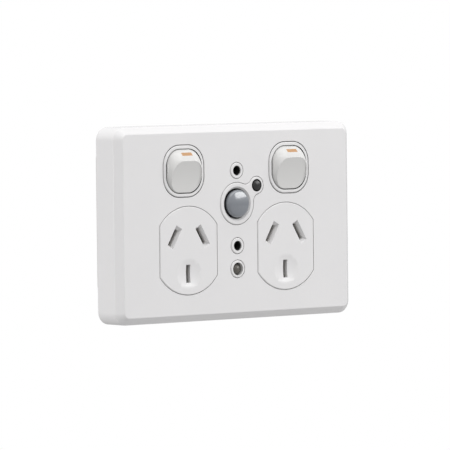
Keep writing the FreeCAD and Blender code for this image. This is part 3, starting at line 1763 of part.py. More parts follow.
def make_board_parts():
    across = (-S.capacitor_out, S.capacitor_width - S.capacitor_out)
    capacitor = (rectangle, *across, -S.capacitor_low, S.capacitor_high)
    body = on_board("mains_capacitor", "Capacitor", S.capacitor_tall, capacitor)
    front = edges_at(S.control_depth - S.capacitor_tall)
    soften(body, "CapacitorSoftEdges", S.capacitor_softness, front)
    varistor = (disc, S.varistor_across, S.varistor_up, S.varistor_radius)
    on_board("surge_varistor", "Varistor", S.varistor_tall, varistor)
    across = (S.chip_across, S.chip_across + S.chip_wide)
    chip = (rectangle, *across, -S.chip_down - S.chip_long, -S.chip_down)
    on_board("control_chip", "Chip", S.chip_tall, chip)
    body = new_body("test_resistor")
    r = S.resistor_radius
    resistor = (disc, S.control_depth - r, S.resistor_up, r)
    far = S.resistor_across + S.resistor_long
    pad(body, "Resistor", "YZ_Plane", -far, -S.resistor_across, resistor)


make_cover_plate()
make_front_moulding()
make_rear_housing()
make_housing_screws()
for switch, hand in SIDES:
    make_rocker(switch, hand)
    make_rocker_mark(switch, hand)
    make_rocker_plunger(switch, hand)
    make_rocker_spring(switch, hand)
    make_moving_contact(switch, hand)
make_left_active_contact()
make_right_active_contact()
make_neutral_strip()
make_earth_strip()
make_switch_feed_bar()
make_contact_carrier()
for terminal, place in TERMINALS:
    make_terminal(terminal, place)
make_terminal_screws()
make_indicator_board()
for lamp in lamp_heights:
    make_lamp(lamp)
    make_lamp_holder(lamp)
make_reset_button()
make_reset_spring()
make_test_button()
make_test_leaf()
make_contact_base()
make_contact_carriage()
make_bridge("active", -1)
make_bridge("neutral", 1)
make_armature_plate()
make_carriage_springs()
make_line_bar("active", -1)
make_line_bar("neutral", 1)
make_load_active_bar()
make_load_neutral_bar()
make_sensing_core()
make_sensing_winding()
make_magnet_core()
make_coil_bobbin()
make_coil_winding()
make_magnet_yoke()
make_control_board()
make_board_parts()


def check_and_export():
    """Stop at any failed feature, then write each sub-part to its own file."""
    doc.recompute()
    for thing in doc.Objects:
        if "Invalid" in thing.State or "Error" in thing.State:
            raise RuntimeError("%s failed: %s" % (thing.Name, thing.State))
    os.makedirs("parts", exist_ok=True)
    for thing in subparts:
        shape = thing.Shape
        if shape.isNull() or not shape.isValid():
            raise RuntimeError(thing.Label + " has no valid shape")
        print(thing.Label, len(shape.Solids), round(shape.Volume, 1), shape.BoundBox)
        shape.exportStep("parts/%s.step" % thing.Label)


check_and_export()
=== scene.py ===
import json
import math

import bmesh
import bpy
from mathutils import Matrix, Vector


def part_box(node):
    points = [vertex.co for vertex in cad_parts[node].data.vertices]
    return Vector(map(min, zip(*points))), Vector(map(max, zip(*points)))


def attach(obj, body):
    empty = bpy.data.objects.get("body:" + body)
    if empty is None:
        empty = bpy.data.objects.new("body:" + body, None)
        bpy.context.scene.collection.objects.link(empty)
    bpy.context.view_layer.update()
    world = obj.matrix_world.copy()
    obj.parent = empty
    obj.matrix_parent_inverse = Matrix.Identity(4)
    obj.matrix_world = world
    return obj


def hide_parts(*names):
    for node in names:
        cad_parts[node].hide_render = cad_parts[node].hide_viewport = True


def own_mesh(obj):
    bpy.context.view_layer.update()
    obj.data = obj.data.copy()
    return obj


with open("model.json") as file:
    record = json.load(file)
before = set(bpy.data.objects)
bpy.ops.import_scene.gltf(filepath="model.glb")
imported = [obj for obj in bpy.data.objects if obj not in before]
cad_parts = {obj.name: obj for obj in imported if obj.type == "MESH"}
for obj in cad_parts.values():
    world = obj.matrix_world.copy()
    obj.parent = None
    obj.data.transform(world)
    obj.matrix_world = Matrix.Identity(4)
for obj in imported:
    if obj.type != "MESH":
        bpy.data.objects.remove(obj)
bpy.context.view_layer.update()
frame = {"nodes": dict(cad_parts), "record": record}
mm = 0.001


# Cover plate.
# A thin shell of glossy white urea, moulded in one shot with a bevelled front edge.
# Four clips behind it push into the front moulding, so no screw shows.
def feed(tree, node, inputs):
    """Sets or links a node's inputs. A node given as a value stands for its first live output."""
    for name, value in inputs.items():
        if isinstance(value, bpy.types.Node):
            value = next(socket for socket in value.outputs if socket.enabled)
        if isinstance(value, bpy.types.NodeSocket):
            tree.links.new(value, node.inputs[name])
        else:
            node.inputs[name].default_value = value
    return node


def add(tree, kind, inputs=None, **settings):
    """Adds a node with these settings, and then these inputs."""
    node = tree.nodes.new(kind)
    for name, value in settings.items():
        setattr(node, name, value)
    return feed(tree, node, inputs or {})


def maths(tree, operation, *terms):
    """Adds a math node, whose terms are nodes, sockets or numbers."""
    return add(tree, "ShaderNodeMath", dict(enumerate(terms)), operation=operation)


def noise(tree, place, scale, detail=2.0, roughness=0.5):
    """Adds noise about so many cells to the metre."""
    settings = {"Vector": place, "Scale": scale, "Detail": detail, "Roughness": roughness}
    return add(tree, "ShaderNodeTexNoise", settings)


def ramp(tree, value, start, end, low=0.0, high=1.0):
    """Stretches a value's range from start to end over the range from low to high."""
    ends = {"From Min": start, "From Max": end, "To Min": low, "To Max": high}
    return add(tree, "ShaderNodeMapRange", {"Value": value, **ends})


def blend(tree, share, first, second, data_type="RGBA"):
    """Mixes two colours or values, by the share of the second."""
    node = add(tree, "ShaderNodeMix", data_type=data_type)
    return feed(tree, node, {"Factor": share, "A": first, "B": second})


def node_group(name, kind, inputs, outputs):
    """A new node group with these named inputs and outputs, of these kinds."""
    tree = bpy.data.node_groups.new(name, kind)
    for side, sockets in (("INPUT", inputs), ("OUTPUT", outputs)):
        for label, value in sockets.items():
            tree.interface.new_socket(label, in_out=side, socket_type="NodeSocket" + value)
    given = tree.nodes.new("NodeGroupInput").outputs
    made = tree.nodes.new("NodeGroupOutput")
    return tree, given, made


skin_outputs = {"Surface Colour": "Color", "Surface Roughness": "Float", "Height": "Float"}


def moulded_skin():
    """The skin of a moulding: a faint drift of tone, shade painted deep in the gaps, and fine
    grain.
    """
    tree, given, made = node_group(
        "moulded_skin",
        "ShaderNodeTree",
        dict.fromkeys(("Colour", "Drift Colour", "Edge Colour", "Gap Shade Colour"), "Color")
        | dict.fromkeys(("Roughness", "Roughness Range", "Grain Scale"), "Float"),
        skin_outputs,
    )
    place = add(tree, "ShaderNodeTexCoord").outputs["Object"]
    cloud = noise(tree, place, scale=45.0, detail=4.0, roughness=0.6)
    drift = ramp(tree, cloud, start=0.35, end=0.7)
    shade = blend(tree, drift, given["Colour"], given["Drift Colour"])

    rounded = add(tree, "ShaderNodeBevel", {"Radius": 0.3 * mm}, samples=4)
    flat = add(tree, "ShaderNodeNewGeometry").outputs["Normal"]
    turned = add(tree, "ShaderNodeVectorMath", operation="DOT_PRODUCT")
    edge = ramp(tree, feed(tree, turned, {0: rounded, 1: flat}), start=0.995, end=0.80)
    shade = blend(tree, edge, shade, given["Edge Colour"])

    # Painted shade: the colour goes to the gap shade colour where ambient occlusion finds the
    # surface shut in, in seams, holes and slots.
    open_air = add(tree, "ShaderNodeAmbientOcclusion", {"Distance": 4 * mm}, samples=6)
    gap_shade = ramp(tree, open_air.outputs["AO"], start=0.55, end=0.22)
    shade = blend(tree, gap_shade, shade, given["Gap Shade Colour"])

    smear = noise(tree, place, scale=120.0, detail=6.0, roughness=0.65)
    centred = maths(tree, "SUBTRACT", smear, 0.5)
    spread = maths(tree, "MULTIPLY", centred, given["Roughness Range"])
    rough = maths(tree, "ADD", spread, given["Roughness"])
    grain = noise(tree, place, given["Grain Scale"])
    feed(tree, made, {"Surface Colour": shade, "Surface Roughness": rough, "Height": grain})
    return tree


moulded_group = moulded_skin()


def new_material(name):
    """A new material, with its node tree and its shader."""
    material = bpy.data.materials.new(name)
    material.use_nodes = True
    tree = material.node_tree
    return material, tree, tree.nodes["Principled BSDF"]


def skinned(name, group, skin_inputs, relief, relief_depth, shader_inputs):
    """A material whose colour, gloss and relief come from a skin group."""
    material, tree, shader = new_material(name)
    skin = add(tree, "ShaderNodeGroup", skin_inputs, node_tree=group)
    height = {"Strength": relief, "Distance": relief_depth, "Height": skin.outputs["Height"]}
    looks = {
        "Base Color": skin.outputs["Surface Colour"],
        "Roughness": skin.outputs["Surface Roughness"],
        "Normal": add(tree, "ShaderNodeBump", height),
    }
    feed(tree, shader, {**looks, **shader_inputs})
    return material


# Each plastic's gap_shade is the shade painted into its seams and holes, near black unless given.
def moulded_plastic(name, colour, drift, edge, roughness, spread=0.08, grain=1500.0,
                    grain_depth=0.02, coat=0.0, coat_index=1.5, specular=0.5,
                    gap_shade=(0.015, 0.015, 0.015)):
    """A moulded plastic, whose colour, gloss and grain come from the skin group, with shade
    painted into its gaps.
    """
    skin_inputs = {
        "Colour": (*colour, 1),
        "Drift Colour": (*drift, 1),
        "Edge Colour": (*edge, 1),
        "Gap Shade Colour": (*gap_shade, 1),
        "Roughness": roughness,
        "Roughness Range": spread,
        "Grain Scale": grain,
    }
    shader_inputs = {
        "IOR": 1.5,
        "Specular IOR Level": specular,
        "Coat Weight": coat,
        "Coat IOR": coat_index,
        "Coat Roughness": 0.12,
    }
    return skinned(name, moulded_group, skin_inputs, grain_depth, 0.1 * mm, shader_inputs)


def paint(node, material):
    """Gives a piece of the frame its finish, and leaves its shape alone."""
    materials = frame["nodes"][node].data.materials
    materials.clear()
    materials.append(material)


def body_holding(node):
    """The name of the body that a piece of the frame belongs to."""
    bodies = frame["record"]["behaviour"]["bodies"]
    return next(body for body, nodes in bodies.items() if node in nodes)


def stand_in(obj, node):
    """Lets a finished object stand for a piece of the frame, and move with it."""
    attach(obj, body_holding(node))
    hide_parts(node)
    return obj


def new_object(name, data):
    """Puts a mesh, light or camera in the scene."""
    obj = bpy.data.objects.new(name, data)
    bpy.context.collection.objects.link(obj)
    return obj


def smooth_mesh(mesh, name, material, crease):
    """Turns worked mesh into a finished one, smooth but for the edges past the crease angle."""
    data = bpy.data.meshes.new(name)
    mesh.to_mesh(data)
    mesh.free()
    data.polygons.foreach_set("use_smooth", [True] * len(data.polygons))
    data.set_sharp_from_angle(angle=crease)
    data.materials.append(material)
    return data


def smoothed(node, material, rounding=0.12 * mm, hollowed=None):
    """A copy of a piece of the frame with its edges rounded and its curves shaded smooth."""
    crease = math.radians(32)
    same_spot, same_plane = 0.002 * mm, math.radians(0.2)
    mesh = bmesh.new()
    mesh.from_mesh(frame["nodes"][node].data)
    bmesh.ops.remove_doubles(mesh, verts=mesh.verts, dist=same_spot)
    bmesh.ops.dissolve_limit(mesh, angle_limit=same_plane, verts=mesh.verts, edges=mesh.edges)
    if hollowed:
        hollowed(mesh)
    name = node + "_finished"
    obj = new_object(name, smooth_mesh(mesh, name, material, crease))
    if rounding:
        bevel = obj.modifiers.new("rounded_edges", "BEVEL")
        bevel.width = rounding
        bevel.segments = 2
        bevel.limit_method = "ANGLE"
        bevel.angle_limit = crease
    obj.modifiers.new("even_shading", "WEIGHTED_NORMAL").keep_sharp = True
    return stand_in(obj, node)


urea = {
    "colour": (0.795, 0.786, 0.790),
    "drift": (0.780, 0.772, 0.776),
    "edge": (0.83, 0.83, 0.825),
}
white_urea = moulded_plastic(
    "white_urea",
    **urea,
    roughness=0.22,
    spread=0.1,
    grain=900.0,
    grain_depth=0.015,
    # Shade painted into the seams: a pale grey where the white urea is shut in.
    gap_shade=(0.64, 0.635, 0.62),
)
smoothed("cover_plate", white_urea)


# Front moulding.
# The frame of the outlet, in the same white urea as the cover, with near-black shade painted
# where its gaps are deep.
# Its outlet faces, switch surrounds and lamp rings come through the cover, flush with it.
shaded_urea = moulded_plastic("shaded_urea", **urea, roughness=0.3, gap_shade=(0.010, 0.010, 0.010))
plate_front = -14.1 * mm
reset_hole = (Vector((0, 7.1)) * mm, 6.1 * mm)
test_hole = (Vector((9.75, 13.95)) * mm, 2.6 * mm)
rocker_pivot = Vector((26.05, -8.69, 20.5)) * mm
switch_well = (Vector((rocker_pivot.x, rocker_pivot.z)), 8.9 * mm, 10.4 * mm)


def deep_in_a_gap(spot):
    """True inside the holes of the two buttons and the wells of the rockers."""
    face_depth = 0.05 * mm
    if spot.y < plate_front + face_depth:
        return False
    across = Vector((spot.x, spot.z))
    if any((across - middle).length < reach for middle, reach in (reset_hole, test_hole)):
        return True
    middle, wide, tall = switch_well
    return abs(abs(spot.x) - middle.x) < wide and abs(spot.z - middle.y) < tall


# Faces deep in the button holes and rocker wells get the second material, whose gaps take
# near-black painted shade.
moulding = smoothed("front_moulding", white_urea, rounding=0.06 * mm)
moulding.data.materials.append(shaded_urea)
for face in moulding.data.polygons:
    face.material_index = int(deep_in_a_gap(face.center))


# Rockers.
# Glossy white rockers that tip in the moulding on their own trunnions, hollowed for a finger.
# The orange mark is a second shot of plastic, and shows while the upper end stands out.
rocker_tilt = math.radians(16)
rocker_face = 7.57 * mm
finger_hollow = 0.4 * mm


def finger_rest(pivot, strips=12):
    """Gives a rocker's flat face a shallow hollow along its length."""
    turned = Matrix.Rotation(rocker_tilt, 3, "X")
    along, out = turned @ Vector((0, 0, 1)), turned @ Vector((0, -1, 0))

    def on_face(vert):
        return abs((vert.co - pivot).dot(out) - rocker_face) < 0.005 * mm

    def hollowed(mesh):
        half = max((v.co - pivot).dot(along) for v in mesh.verts if on_face(v))
        for strip in range(1, strips):
            flat = [face for face in mesh.faces if all(on_face(v) for v in face.verts)]
            edges = list(dict.fromkeys(edge for face in flat for edge in face.edges))
            verts = list(dict.fromkeys(vert for face in flat for vert in face.verts))
            bmesh.ops.bisect_plane(
                mesh,
                geom=flat + edges + verts,
                dist=0.001 * mm,
                plane_co=pivot + along * half * (2 * strip / strips - 1),
                plane_no=along,
            )
        for vert in [v for v in mesh.verts if on_face(v)]:
            share = (vert.co - pivot).dot(along) / half
            vert.co -= out * finger_hollow * (1 - min(share**2, 1))

    return hollowed


rocker_white = moulded_plastic(
    "rocker_white",
    colour=(0.715, 0.71, 0.70),
    drift=(0.705, 0.70, 0.69),
    edge=(0.84, 0.84, 0.83),
    roughness=0.12,
    spread=0.06,
    grain=700.0,
    grain_depth=0.01,
    coat=0.4,
)
signal_orange = moulded_plastic(
    "signal_orange",
    colour=(0.55, 0.31, 0.155),
    drift=(0.49, 0.26, 0.115),
    edge=(0.64, 0.41, 0.24),
    roughness=0.3,
)
for side, hand in (("left", -1), ("right", 1)):
    pivot = Vector((rocker_pivot.x * hand, rocker_pivot.y, rocker_pivot.z))
    rest = finger_rest(pivot)
    smoothed(side + "_rocker", rocker_white, rounding=0.25 * mm, hollowed=rest)
    smoothed(side + "_rocker_mark", signal_orange, rounding=0.03 * mm)


# Rocker plungers and springs.
# A nylon plunger slides in each rocker's tube, pushed by a coil of music wire.
# Its round tip rides over the contact behind it, which gives the switch its snap.
natural_nylon = moulded_plastic(
    "natural_nylon",
    colour=(0.62, 0.60, 0.54),
    drift=(0.56, 0.54, 0.47),
    edge=(0.72, 0.70, 0.64),
    roughness=0.42,
)


def drawn_metal():
    """Drawn or rolled metal: fine lines along one way, with a slow drift of tarnish."""
    tree, given, made = node_group(
        "drawn_metal",
        "ShaderNodeTree",
        dict.fromkeys(("Colour", "Tarnish Colour"), "Color")
        | dict.fromkeys(("Tarnish", "Roughness", "Line Scale"), "Float"),
        skin_outputs,
    )
    place = add(tree, "ShaderNodeTexCoord").outputs["Object"]
    stretched = add(tree, "ShaderNodeMapping", {"Vector": place, "Scale": (1.0, 1.0, 0.06)})
    lines = noise(tree, stretched, given["Line Scale"], detail=3.0, roughness=0.6)
    cloud = noise(tree, place, scale=160.0, detail=5.0, roughness=0.6)
    patches = ramp(tree, cloud, start=0.42, end=0.68)
    amount = maths(tree, "MULTIPLY", patches, given["Tarnish"])
    shade = blend(tree, amount, given["Colour"], given["Tarnish Colour"])
    dulled = maths(tree, "MULTIPLY_ADD", amount, 0.25, given["Roughness"])
    feed(tree, made, {"Surface Colour": shade, "Surface Roughness": dulled, "Height": lines})
    return tree


drawn_group = drawn_metal()


def metal(name, colour, tarnish_colour, roughness, tarnish=0.5, lines=1200.0):
    """A bare or plated metal, from the drawn metal group."""
    skin_inputs = {
        "Colour": (*colour, 1),
        "Tarnish Colour": (*tarnish_colour, 1),
        "Tarnish": tarnish,
        "Roughness": roughness,
        "Line Scale": lines,
    }
    line_depth = 0.05
    return skinned(name, drawn_group, skin_inputs, line_depth, 0.05 * mm, {"Metallic": 1.0})


music_wire = metal("music_wire", (0.56, 0.56, 0.57), (0.36, 0.35, 0.34), roughness=0.25)


def plain_mesh(tree, made, shape, finish, place):
    """Ends a node tree: turns and moves its shape, shades it smooth and gives it its finish."""
    placed = add(tree, "GeometryNodeTransform", {"Geometry": shape, **place})
    smooth = add(tree, "GeometryNodeSetShadeSmooth", {"Geometry": placed})
    coated = add(tree, "GeometryNodeSetMaterial", {"Geometry": smooth, "Material": finish})
    feed(tree, made, {"Geometry": coated})


def coil_tree():
    """Node tree for a wire wound round an axis along Y, from its named sizes."""
    tree, given, made = node_group(
        "wound_wire",
        "GeometryNodeTree",
        dict.fromkeys(("Turns", "Radius", "Length", "Wire Radius", "Tilt"), "Float")
        | {"Steps": "Int", "Middle": "Vector", "Finish": "Material"},
        {"Geometry": "Geometry"},
    )
    spiral = {
        "Resolution": given["Steps"],
        "Rotations": given["Turns"],
        "Start Radius": given["Radius"],
        "End Radius": given["Radius"],
        "Height": given["Length"],
    }
    path = add(tree, "GeometryNodeCurveSpiral", spiral)
    round_wire = {"Resolution": 8, "Radius": given["Wire Radius"]}
    section = add(tree, "GeometryNodeCurvePrimitiveCircle", round_wire)
    swept = {"Curve": path, "Profile Curve": section, "Fill Caps": True}
    wire = add(tree, "GeometryNodeCurveToMesh", swept)

    half_down = maths(tree, "MULTIPLY", given["Length"], -0.5)
    down = add(tree, "ShaderNodeCombineXYZ", {"Z": half_down})
    centred = add(tree, "GeometryNodeTransform", {"Geometry": wire, "Translation": down})
    quarter_turn = maths(tree, "ADD", given["Tilt"], -math.pi / 2)
    lean = add(tree, "ShaderNodeCombineXYZ", {"X": quarter_turn})
    place = {"Rotation": lean, "Translation": given["Middle"]}
    plain_mesh(tree, made, centred, given["Finish"], place)
    return tree


wound_wire_tree = coil_tree()


def grown(name, tree, sizes):
    """Runs a node tree once with these sizes, and keeps the result as a plain mesh."""
    seed = new_object(name + "_seed", bpy.data.meshes.new(name + "_seed"))
    modifier = seed.modifiers.new("shape", "NODES")
    modifier.node_group = tree
    for item in tree.interface.items_tree:
        if item.name in sizes:
            modifier[item.identifier] = sizes[item.name]
    bpy.context.view_layer.update()
    depsgraph = bpy.context.evaluated_depsgraph_get()
    data = bpy.data.meshes.new_from_object(seed.evaluated_get(depsgraph))
    bpy.data.objects.remove(seed)
    data.name = name
    return new_object(name, data)


def coil(name, middle, outer, length, turns=6.0, wire_radius=0.2 * mm, tilt=0.0, steps=24,
         finish=music_wire):
    """A coil of wire that fills a round room of this outer radius and length."""
    sizes = {
        "Turns": turns,
        "Radius": outer - wire_radius,
        "Length": length - 2 * wire_radius,
        "Wire Radius": wire_radius,
        "Steps": steps,
        "Middle": middle,
        "Tilt": tilt,
        "Finish": finish,
    }
    return grown(name, wound_wire_tree, sizes)


def box_middle(node):
    """The middle of a piece of the frame, and its size."""
    low, high = (Vector(corner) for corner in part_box(node))
    return (low + high) / 2, high - low


for side in ("left", "right"):
    smoothed(side + "_rocker_plunger", natural_nylon, rounding=0.1 * mm)
    node = side + "_rocker_spring"
    middle, size = box_middle(node)
    free_length = (size.y - size.x * math.sin(rocker_tilt)) / math.cos(rocker_tilt)
    stand_in(coil(node + "_coils", middle, size.x / 2, free_length, tilt=rocker_tilt), node)


# Moving contacts.
# A bent brass seesaw under each plunger, with a silver rivet on its upper arm.
# It rocks on the knife edge of the feed bar and makes or breaks the active.
bare_brass = metal("bare_brass", (0.78, 0.58, 0.26), (0.48, 0.30, 0.12), roughness=0.24)
for side in ("left", "right"):
    smoothed(side + "_moving_contact", bare_brass, rounding=0.08 * mm)


# Reset button and spring.
# A blue-grey acetal button, turned from a domed face, a flange that keeps it in and a stem.
# A coil of music wire round the stem brings it back out.
def crowned_face(front, crown, radius, shoulder, steps=10):
    """The front of a round button as depth and radius: a shallow dome, then its shoulder."""
    lean = math.asin((radius - shoulder) / (crown - shoulder))
    dome = [lean * step / steps for step in range(steps)]
    turn = [lean + (math.pi / 2 - lean) * step / steps for step in range(steps + 1)]
    behind = front + crown - (crown - shoulder) * math.cos(lean)
    face = [(front + crown * (1 - math.cos(a)), crown * math.sin(a)) for a in dome]
    edge = [
        (behind - shoulder * math.cos(a), radius - shoulder + shoulder * math.sin(a))
        for a in turn
    ]
    return face + edge


def turned_button(node, material, crown, radius, shoulder, stem, steps=96):
    """A round button with a flange and a stem, in the room that the frame leaves it."""
    flange_front, flange_back = -9.7 * mm, -8.4 * mm
    low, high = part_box(node)
    wide = (high[0] - low[0]) / 2
    profile = crowned_face(low[1], crown, radius, shoulder)
    profile += [(flange_front, radius), (flange_front, wide), (flange_back, wide)]
    profile += [(flange_back, stem), (high[1], stem), (high[1], 0)]
    middle = Vector(((low[0] + high[0]) / 2, 0, (low[2] + high[2]) / 2))
    angles = [2 * math.pi * step / steps for step in range(steps)]
    mesh = bmesh.new()
    front, *rings, back = [
        [
            mesh.verts.new(middle + Vector((out * math.cos(a), depth, -out * math.sin(a))))
            for a in (angles if out else angles[:1])
        ]
        for depth, out in profile
    ]
    for step in range(steps):
        for ring, behind in zip(rings, rings[1:]):
            mesh.faces.new((ring[step - 1], ring[step], behind[step], behind[step - 1]))
        mesh.faces.new((rings[0][step - 1], rings[0][step], front[0]))
        mesh.faces.new((rings[-1][step - 1], rings[-1][step], back[0]))
    bmesh.ops.recalc_face_normals(mesh, faces=mesh.faces)
    name = node + "_finished"
    data = smooth_mesh(mesh, name, material, crease=math.radians(35))
    return stand_in(new_object(name, data), node)


reset_blue_grey = moulded_plastic(
    "reset_blue_grey",
    colour=(0.190, 0.205, 0.230),
    drift=(0.180, 0.195, 0.220),
    edge=(0.34, 0.36, 0.40),
    roughness=0.26,
    coat=1.0,
    coat_index=1.8,
)
turned_button(
    "reset_button",
    reset_blue_grey,
    crown=17 * mm,
    radius=5.4 * mm,
    shoulder=1.2 * mm,
    stem=2.2 * mm,
)


def shortens(coils):
    """Gives a spring's coils a mesh of their own, and does not shorten them."""
    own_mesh(coils)


middle, size = box_middle("reset_spring")
reset_coils = coil(
    "reset_spring_coils",
    middle,
    size.x / 2,
    size.y,
    turns=7.0,
    wire_radius=0.25 * mm,
    steps=40,
)
stand_in(reset_coils, "reset_spring")
shortens(reset_coils)


# Test button and leaf.
# A small dark grey button that stands just proud of its ring.
# Behind it a phosphor bronze leaf closes the test circuit on the indicator board.
test_dark_grey = moulded_plastic(
    "test_dark_grey",
    colour=(0.022, 0.022, 0.022),
    drift=(0.028, 0.028, 0.028),
    edge=(0.05, 0.05, 0.05),
    roughness=0.2,
    specular=0.4,
)
bronze_leaf = metal("bronze_leaf", (0.72, 0.45, 0.26), (0.42, 0.22, 0.12), roughness=0.3)
turned_button(
    "test_button",
    test_dark_grey,
    crown=5 * mm,
    radius=2 * mm,
    shoulder=0.45 * mm,
    stem=1.2 * mm,
)
smoothed("test_leaf", bronze_leaf, rounding=0.04 * mm)


# Lamps and their holders.
# Two small lamps deep in black tubes, dark here because the power is off.
# The third is a larger smoked lens that comes almost to the face.
black_nylon = moulded_plastic(
    "black_nylon",
    colour=(0.010, 0.010, 0.010),
    drift=(0.014, 0.014, 0.014),
    edge=(0.04, 0.04, 0.04),
    roughness=0.5,
)
unlit_red = moulded_plastic(
    "unlit_red",
    colour=(0.035, 0.012, 0.012),
    drift=(0.05, 0.016, 0.014),
    edge=(0.09, 0.03, 0.03),
    roughness=0.12,
    coat=0.6,
)
smoked_lens = moulded_plastic(
    "smoked_lens",
    colour=(0.115, 0.107, 0.093),
    drift=(0.085, 0.079, 0.068),
    edge=(0.19, 0.18, 0.16),
    roughness=0.16,
    coat=0.2,
    # Shade painted into the gaps round the lens, a dark brown-grey.
    gap_shade=(0.07, 0.065, 0.058),
)
for lamp in ("upper", "middle"):
    smoothed(lamp + "_lamp", unlit_red, rounding=0.03 * mm)
smoothed("lower_lamp", smoked_lens, rounding=0.03 * mm)
for lamp in ("upper", "middle", "lower"):
    smoothed(lamp + "_lamp_holder", black_nylon, rounding=0.06 * mm)


# Indicator board.
# A green glass laminate board behind the front, which carries the lamps and the test leaf.
# Its props and the stem of the reset button pass it through drilled holes.
def laminate():
    """Glass laminate under green lacquer, with copper tracks showing through it."""
    material, tree, shader = new_material("green_laminate")
    place = add(tree, "ShaderNodeTexCoord").outputs["Object"]
    cells = add(tree, "ShaderNodeTexVoronoi", feature="DISTANCE_TO_EDGE")
    feed(tree, cells, {"Vector": place, "Scale": 260.0})
    tracks = ramp(tree, cells, start=0.05, end=0.08)
    weave = noise(tree, place, scale=1800.0)
    relief = {"Strength": 0.2, "Distance": 0.03 * mm, "Height": tracks}
    looks = {
        "Base Color": blend(tree, tracks, (0.02, 0.10, 0.035, 1), (0.05, 0.20, 0.07, 1)),
        "Roughness": ramp(tree, weave, start=0, end=1, low=0.25, high=0.45),
        "Normal": add(tree, "ShaderNodeBump", relief),
        "Coat Weight": 0.4,
    }
    feed(tree, shader, looks)
    return material


green_laminate = laminate()
paint("indicator_board", green_laminate)


# Pin contacts, feed bar and earth strip.
# Pressed brass strips on the carrier, with a pair of sprung leaves for each pin.
# They carry the current from the switches and terminals to the plugs.
for strip in (
    "left_active_contact",
    "right_active_contact",
    "neutral_strip",
    "earth_strip",
    "switch_feed_bar",
):
    smoothed(strip, bare_brass, rounding=0.08 * mm)


# Contact carrier and contact base.
# Two insulating plates of grey glass-filled nylon, which hold all the live metal apart.
# The carrier's props hold the indicator board in front and the contact base behind.
grey_nylon = moulded_plastic(
    "grey_nylon",
    colour=(0.42, 0.42, 0.41),
    drift=(0.36, 0.36, 0.35),
    edge=(0.52, 0.52, 0.51),
    roughness=0.5,
    grain=500.0,
    grain_depth=0.08,
)
smoothed("contact_carrier", grey_nylon, rounding=0.1 * mm)
smoothed("contact_base", grey_nylon, rounding=0.1 * mm)


# Contact carriage.
# A black nylon cross that the reset stem pushes in, with two brass bridges on its back.
# The plated iron disc on its hub is what the magnet holds while the power is on.
plated_iron = metal(
    "plated_iron", (0.50, 0.50, 0.50), (0.28, 0.27, 0.25), roughness=0.38, lines=600.0
)
smoothed("contact_carriage", black_nylon, rounding=0.1 * mm)
smoothed("active_bridge", bare_brass, rounding=0.06 * mm)
smoothed("neutral_bridge", bare_brass, rounding=0.06 * mm)
smoothed("armature_plate", plated_iron, rounding=0.12 * mm)


def carriage_coils():
    """The two return springs of the carriage, joined as the one piece they are listed as."""
    middle, size = box_middle("carriage_springs")
    outer = size.x / 2
    lift = Vector((0, 0, size.z / 2 - outer))
    lower = coil("carriage_springs_coils", middle - lift, outer, size.y)
    upper = coil("carriage_springs_upper", middle + lift, outer, size.y)
    merged = bmesh.new()
    merged.from_mesh(lower.data)
    merged.from_mesh(upper.data)
    merged.to_mesh(lower.data)
    merged.free()
    bpy.data.objects.remove(upper)
    return lower


shortens(stand_in(carriage_coils(), "carriage_springs"))


# Line and load bars.
# Tinned copper bars with silver rivets, bent round from the terminals to the strips.
# The two line bars pass through the ring of the balance transformer.
tinned_copper = metal(
    "tinned_copper", (0.70, 0.66, 0.60), (0.55, 0.36, 0.24), roughness=0.3, tarnish=0.35
)
for bar in ("line_active_bar", "line_neutral_bar", "load_active_bar", "load_neutral_bar"):
    smoothed(bar, tinned_copper, rounding=0.08 * mm)


# Balance transformer.
# A ring of iron tape under a winding of fine enamelled copper wire.
# Any current that returns by another way than the neutral bar shows in this winding.
enamelled_copper = metal(
    "enamelled_copper", (0.72, 0.30, 0.13), (0.42, 0.14, 0.06), roughness=0.22, lines=300.0
)


def ring_winding_tree():
    """Node tree for loops of wire wound round a ring about an axis along Y."""
    tree, given, made = node_group(
        "ring_winding",
        "GeometryNodeTree",
        dict.fromkeys(("Sweep", "Mean Radius", "Loop Width", "Loop Height"), "Float")
        | {"Wire Radius": "Float", "Turns": "Int", "Middle": "Vector", "Finish": "Material"},
        {"Geometry": "Geometry"},
    )
    line = add(tree, "GeometryNodeMeshLine", {"Count": given["Turns"]})
    index = add(tree, "GeometryNodeInputIndex")
    share = maths(tree, "DIVIDE", index, given["Turns"])
    angle = maths(tree, "MULTIPLY", share, given["Sweep"])
    across = maths(tree, "MULTIPLY", maths(tree, "COSINE", angle), given["Mean Radius"])
    along = maths(tree, "MULTIPLY", maths(tree, "SINE", angle), given["Mean Radius"])
    spot = add(tree, "ShaderNodeCombineXYZ", {"X": across, "Z": along})
    spots = add(tree, "GeometryNodeSetPosition", {"Geometry": line, "Position": spot})

    loop_size = {"Width": given["Loop Width"], "Height": given["Loop Height"]}
    loop = add(tree, "GeometryNodeCurvePrimitiveQuadrilateral", loop_size)
    bend = {"Curve": loop, "Count": 2, "Radius": 0.6 * mm}
    rounded = feed(tree, add(tree, "GeometryNodeFilletCurve", mode="POLY"), bend)
    round_wire = {"Resolution": 6, "Radius": given["Wire Radius"]}
    section = add(tree, "GeometryNodeCurvePrimitiveCircle", round_wire)
    wire = add(tree, "GeometryNodeCurveToMesh", {"Curve": rounded, "Profile Curve": section})

    facing = add(tree, "ShaderNodeCombineXYZ", {"Y": maths(tree, "MULTIPLY", angle, -1.0)})
    copied = {"Points": spots, "Instance": wire, "Rotation": facing}
    copies = add(tree, "GeometryNodeInstanceOnPoints", copied)
    real = add(tree, "GeometryNodeRealizeInstances", {"Geometry": copies})
    plain_mesh(tree, made, real, given["Finish"], {"Translation": given["Middle"]})
    return tree


